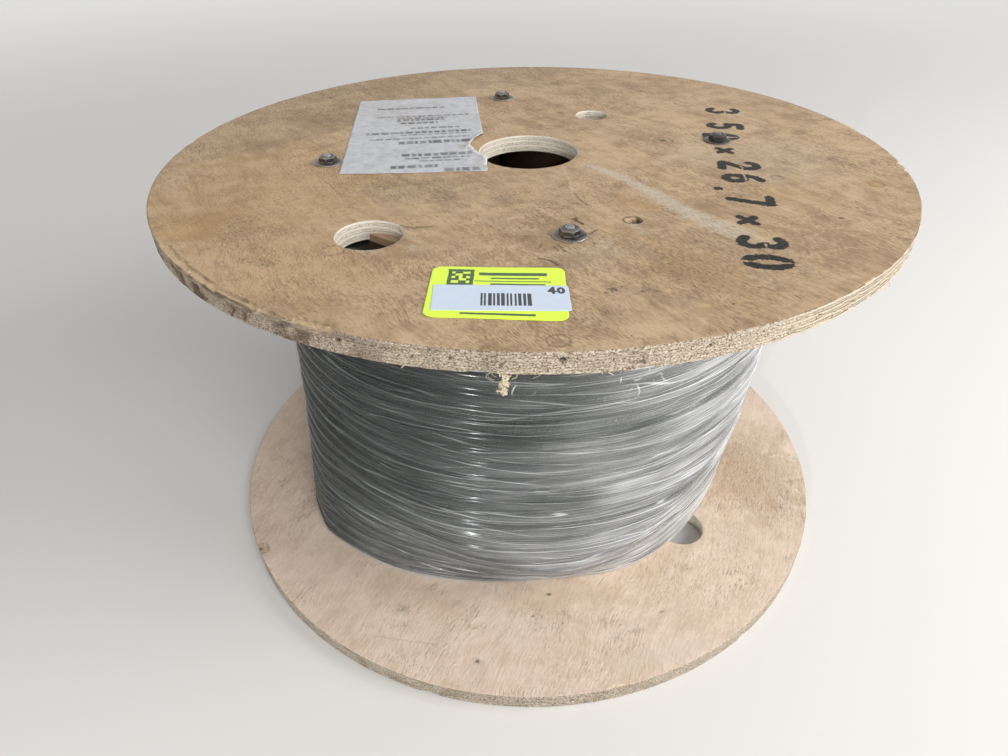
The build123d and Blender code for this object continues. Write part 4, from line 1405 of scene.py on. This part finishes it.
def nutPart(centre, base, turn):
    # A thin hex nut, well chamfered at the top and a little at the bottom, with painted highlights on its chamfers
    # and corners
    (flats, bore), tall, count = fastener["nut"], nutTall, 96
    angle = np.arange(count) * 2 * math.pi / count
    away = (angle - math.radians(turn) + math.pi / 6) % (math.pi / 3) - math.pi / 6
    hexagon = flats / 2 / np.cos(away)
    corner = ease(0.82, 1.0, np.abs(away) / (math.pi / 6))
    # (height, how far out from the flats the cone is, how bright the painted highlight on the edge is)
    levels = [(0.0, 0.15, 0.5), (0.25, 0.5, 0.9), (0.5, 0.9, 0.5), (0.75, 1.0, 0.0), (tall / 2, 1.0, 0.0),
              (tall - 1.5, 1.0, 0.0), (tall - 1.25, 0.55, 0.10), (tall - 1.0, 0.15, 0.35), (tall - 0.75, -0.2, 0.45),
              (tall - 0.5, -0.6, 0.2), (tall - 0.25, -0.95, 0.15), (tall, -1.3, 0.4)]
    profile = [(bore / 2 + 0.05, 0.0)] + [(np.minimum(hexagon, flats / 2 + out), level) for level, out, _ in levels]
    profile += [(flats / 2 - 1.6, tall), (bore / 2 + 0.35, tall - 0.02), (bore / 2, tall - 0.4), (bore / 2, 0.0)]
    shine = [corner * 0] + [np.maximum(shineAmount, 0.35 * corner) for _, _, shineAmount in levels]
    shine += [corner * 0 + value for value in (0.15, 0.3, 0, 0)]
    points = turnedPoints(profile, count, centre, base)
    x, y, z = points.T / 1.6
    return points, loopFaces(len(profile), count).tolist(), np.concatenate(shine) * (0.7 + 0.3 * bumps(x, y, z, 72))


def makeBolt(number, centre, tip, material):
    R, (head, thick) = fastener["bolt"] / 2, fastener["head"]
    pitch, depth, start, count = fastener["threadPitch"], fastener["threadDepth"], fastener["threadFrom"], 48
    angle = np.arange(count) * 2 * math.pi / count
    last = tip - lowerLow.z
    profile = [(0.02, 0.0), (head / 2 - 0.4, 0.0), (head / 2, 0.35), (head / 2, thick - 0.05), (R, thick)]
    profile += [(R, 30), (R, 120), (R, 240), (R, start)]
    for z in np.arange(start + 0.3, last - 0.6, 0.2):
        saw = np.abs(((z / pitch - angle / (2 * math.pi)) % 1) * 2 - 1)
        profile.append((R - depth * ease(0.25, 0.95, saw), z))
    profile += [(R - 0.35, last - 0.35), (R - 0.75, last - 0.02), (0.02, last)]
    points = turnedPoints(profile, count, centre, lowerLow.z)
    # painted highlight round the edge of the bolt's end
    crown = ease(-0.8, -0.3, points[:, 2] - points[:, 2].max()) * 0.5
    makePiece("threadedBolt_%d" % number, points, loopFaces(len(profile), count).tolist(), [material],
              "through_bolt_%d" % number, {"paintedShine": (crown, 0.0, 0.6 * (number == 1))})


def rustShadeAndInk(points):
    # rust, with painted shade, gathers on the left side of each washer and nut, away from the light, and stencil
    # paint has run over the first one
    x, y, _ = points.T
    nearest = np.array([np.hypot(x - px, y - py) for px, py in boltPlaces]).argmin(0)
    dx, dy = (points[:, :2] - np.array(boltPlaces)[nearest]).T
    rust = ease(1.5, 8.0, -dx - 0.35 * dy + 1.5 * bumps(x / 2.5, y / 2.5, 0, 73)) * 0.75
    return rust, (nearest == 0) * ease(-7.0, 2.0, 4.0 - dx + 3.0 * bumps(x / 3, y / 3, 1, 74)) * 0.9


def makeFasteners():
    top, tip = upperHigh.z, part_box("through_bolt_1")[1].z * 1000
    plain = makeMaterial("dullZinc", steelNodes, 0.28)
    rusty = makeMaterial("rustedZinc", steelNodes, 0.75)
    for number, centre in enumerate(boltPlaces, 1):
        makeBolt(number, centre, tip - 0.02, rusty if number == 2 else plain)
    washers = [washerPart(centre, top) for centre in boltPlaces]
    nuts = [nutPart(centre, top + washerThick, turn) for centre, turn in zip(boltPlaces, fastener["turns"])]
    for name, parts, node, smooth in (("dishedWashers", washers, "washers", True), ("hexNuts", nuts, "nuts", False)):
        points, faces, paintedShine = joinParts(parts)
        marks = {"paintedShine": (paintedShine, *rustShadeAndInk(points))}
        makePiece(name, points, faces, [plain], node, marks, smooth=smooth)


makeFasteners()

splinters = {
    "seed": 91,
    # broken fibres under the rim: (angle, how many, size)
    "underRim": [(-112, 3, 1), (-99, 5, 1), (-51.8, 16, 1.6), (-50.2, 8, 1.3), (-67.5, 8, 0.7), (-92, 5, 1),
                 (-36, 5, 1)],
    # the broken shaving: (angle, width, length), and the number of its flakes and loose fibres
    "shaving": (-101.8, 4.6, 13.5), "flakes": 34, "loops": 5,
}


def ribbon(line, width, thickness, inset=None):
    # A thin strip along a line of points with a width at each, kept inside the rim by the inset
    line = np.asarray(line, float)
    if inset:
        reach = np.hypot(line[:, 0], line[:, 1])
        line[:, :2] *= np.minimum(1, (flangeRadius - inset) / reach)[:, None]
    ahead = np.gradient(line, axis=0)
    ahead /= np.linalg.norm(ahead, axis=1)[:, None]
    side = np.cross(ahead, [0.31, 0.22, 0.92])
    side /= np.linalg.norm(side, axis=1)[:, None]
    up = np.cross(side, ahead)
    rows = [line + side * (np.asarray(width) / 2 * a)[:, None] + up * thickness / 2 * b
            for a, b in ((1, 1), (-1, 1), (-1, -1), (1, -1))]
    points = np.stack(rows, 1).reshape(-1, 3)
    faces = loopFaces(len(line), 4).tolist() + [[3, 2, 1, 0], [len(points) - 4 + k for k in range(4)]]
    return points, faces, np.zeros(len(points))


def splinterNodes(tree):
    wood, height, _ = useGroup(tree, woodFigure, 0.6, (0.86, 0.78, 0.62, 1), (0.66, 0.56, 0.41, 1), 1.2, 0.3)
    return {"Base Color": wood, "Roughness": 0.8, "Normal": bump(height, 0.4, 0.0003)}


def makeSplinters():
    rng = np.random.default_rng(splinters["seed"])
    parts = []
    low, R = upperLow.z, flangeRadius
    for at, count, size in splinters["underRim"]:
        for _ in range(count):
            turn = math.radians(at + rng.normal(0, 1.3))
            c, s = math.cos(turn), math.sin(turn)
            start = [(R - rng.uniform(0.8, 2.2)) * c, (R - rng.uniform(0.8, 2.2)) * s, low + rng.uniform(0.1, 2.0)]
            away = np.array([c, s, 0]) * rng.uniform(-0.3, 0.12)
            side = np.array([-s, c, 0]) * rng.normal(0, 0.9)
            way = away + side + np.array([0, 0, -rng.uniform(0.15, 0.9)])
            length = rng.uniform(2.0, 7.5) * size
            t = np.linspace(0, 1, 7)
            line = np.array(start) + np.outer(t, way) * length + np.outer(t ** 2, rng.normal(0, 1.2, 3) * [1, 1, 0.6])
            parts.append(ribbon(line, rng.uniform(0.18, 0.7) * size * (1 - t * 0.85), rng.uniform(0.12, 0.3), 0.4))
    # one crumpled shaving hangs below the rim, with a few thin fibres beside it
    at, wide, tall = splinters["shaving"]

    def hung(across, depth, down):
        # a place under the rim: millimetres along the rim, in from it and below the board
        turn = math.radians(at) + across / R
        return np.array([(R - depth) * math.cos(turn), (R - depth) * math.sin(turn), low - down])

    for k in range(splinters["flakes"]):
        down = tall * (k + 0.5) / splinters["flakes"] - 1.0
        spread = wide / 2 * (1 - 0.8 * max(down, 0) / tall)
        middle = hung(rng.uniform(-1, 1) * spread, 1.9 + rng.uniform(-0.9, 0.9), down)
        way = rng.normal(0, 1, 3) * [1, 1, 1.2]
        way /= np.linalg.norm(way)
        curl = rng.normal(0, 1, 3)
        t = np.linspace(-1, 1, 6)
        line = middle + np.outer(t, way) * rng.uniform(1.3, 2.6) / 2 * 1.4 + np.outer(t ** 2 - 0.3, curl) * 0.8
        parts.append(ribbon(line, rng.uniform(1.2, 2.6) * (1 - 0.6 * t ** 2), 0.22, 0.5))
    for k in range(splinters["loops"]):
        side = 1 if k % 2 else -1
        size = rng.uniform(4, 9)
        t = np.linspace(0, 1, 14)
        line = [hung(side * (1 + size * math.sin(a * 2.6) * 0.9), 1.2 + 0.8 * a,
                     -0.8 + size * 0.75 * (1 - math.cos(a * 2.4)) / 1.7) for a in t]
        parts.append(ribbon(line, 0.12 * (1 - t * 0.5), 0.09))
    points, faces, _ = joinParts(parts)
    makePiece("rimSplinters", points, faces, [makeMaterial("splinteredWood", splinterNodes)], None,
              smooth=False)


makeSplinters()
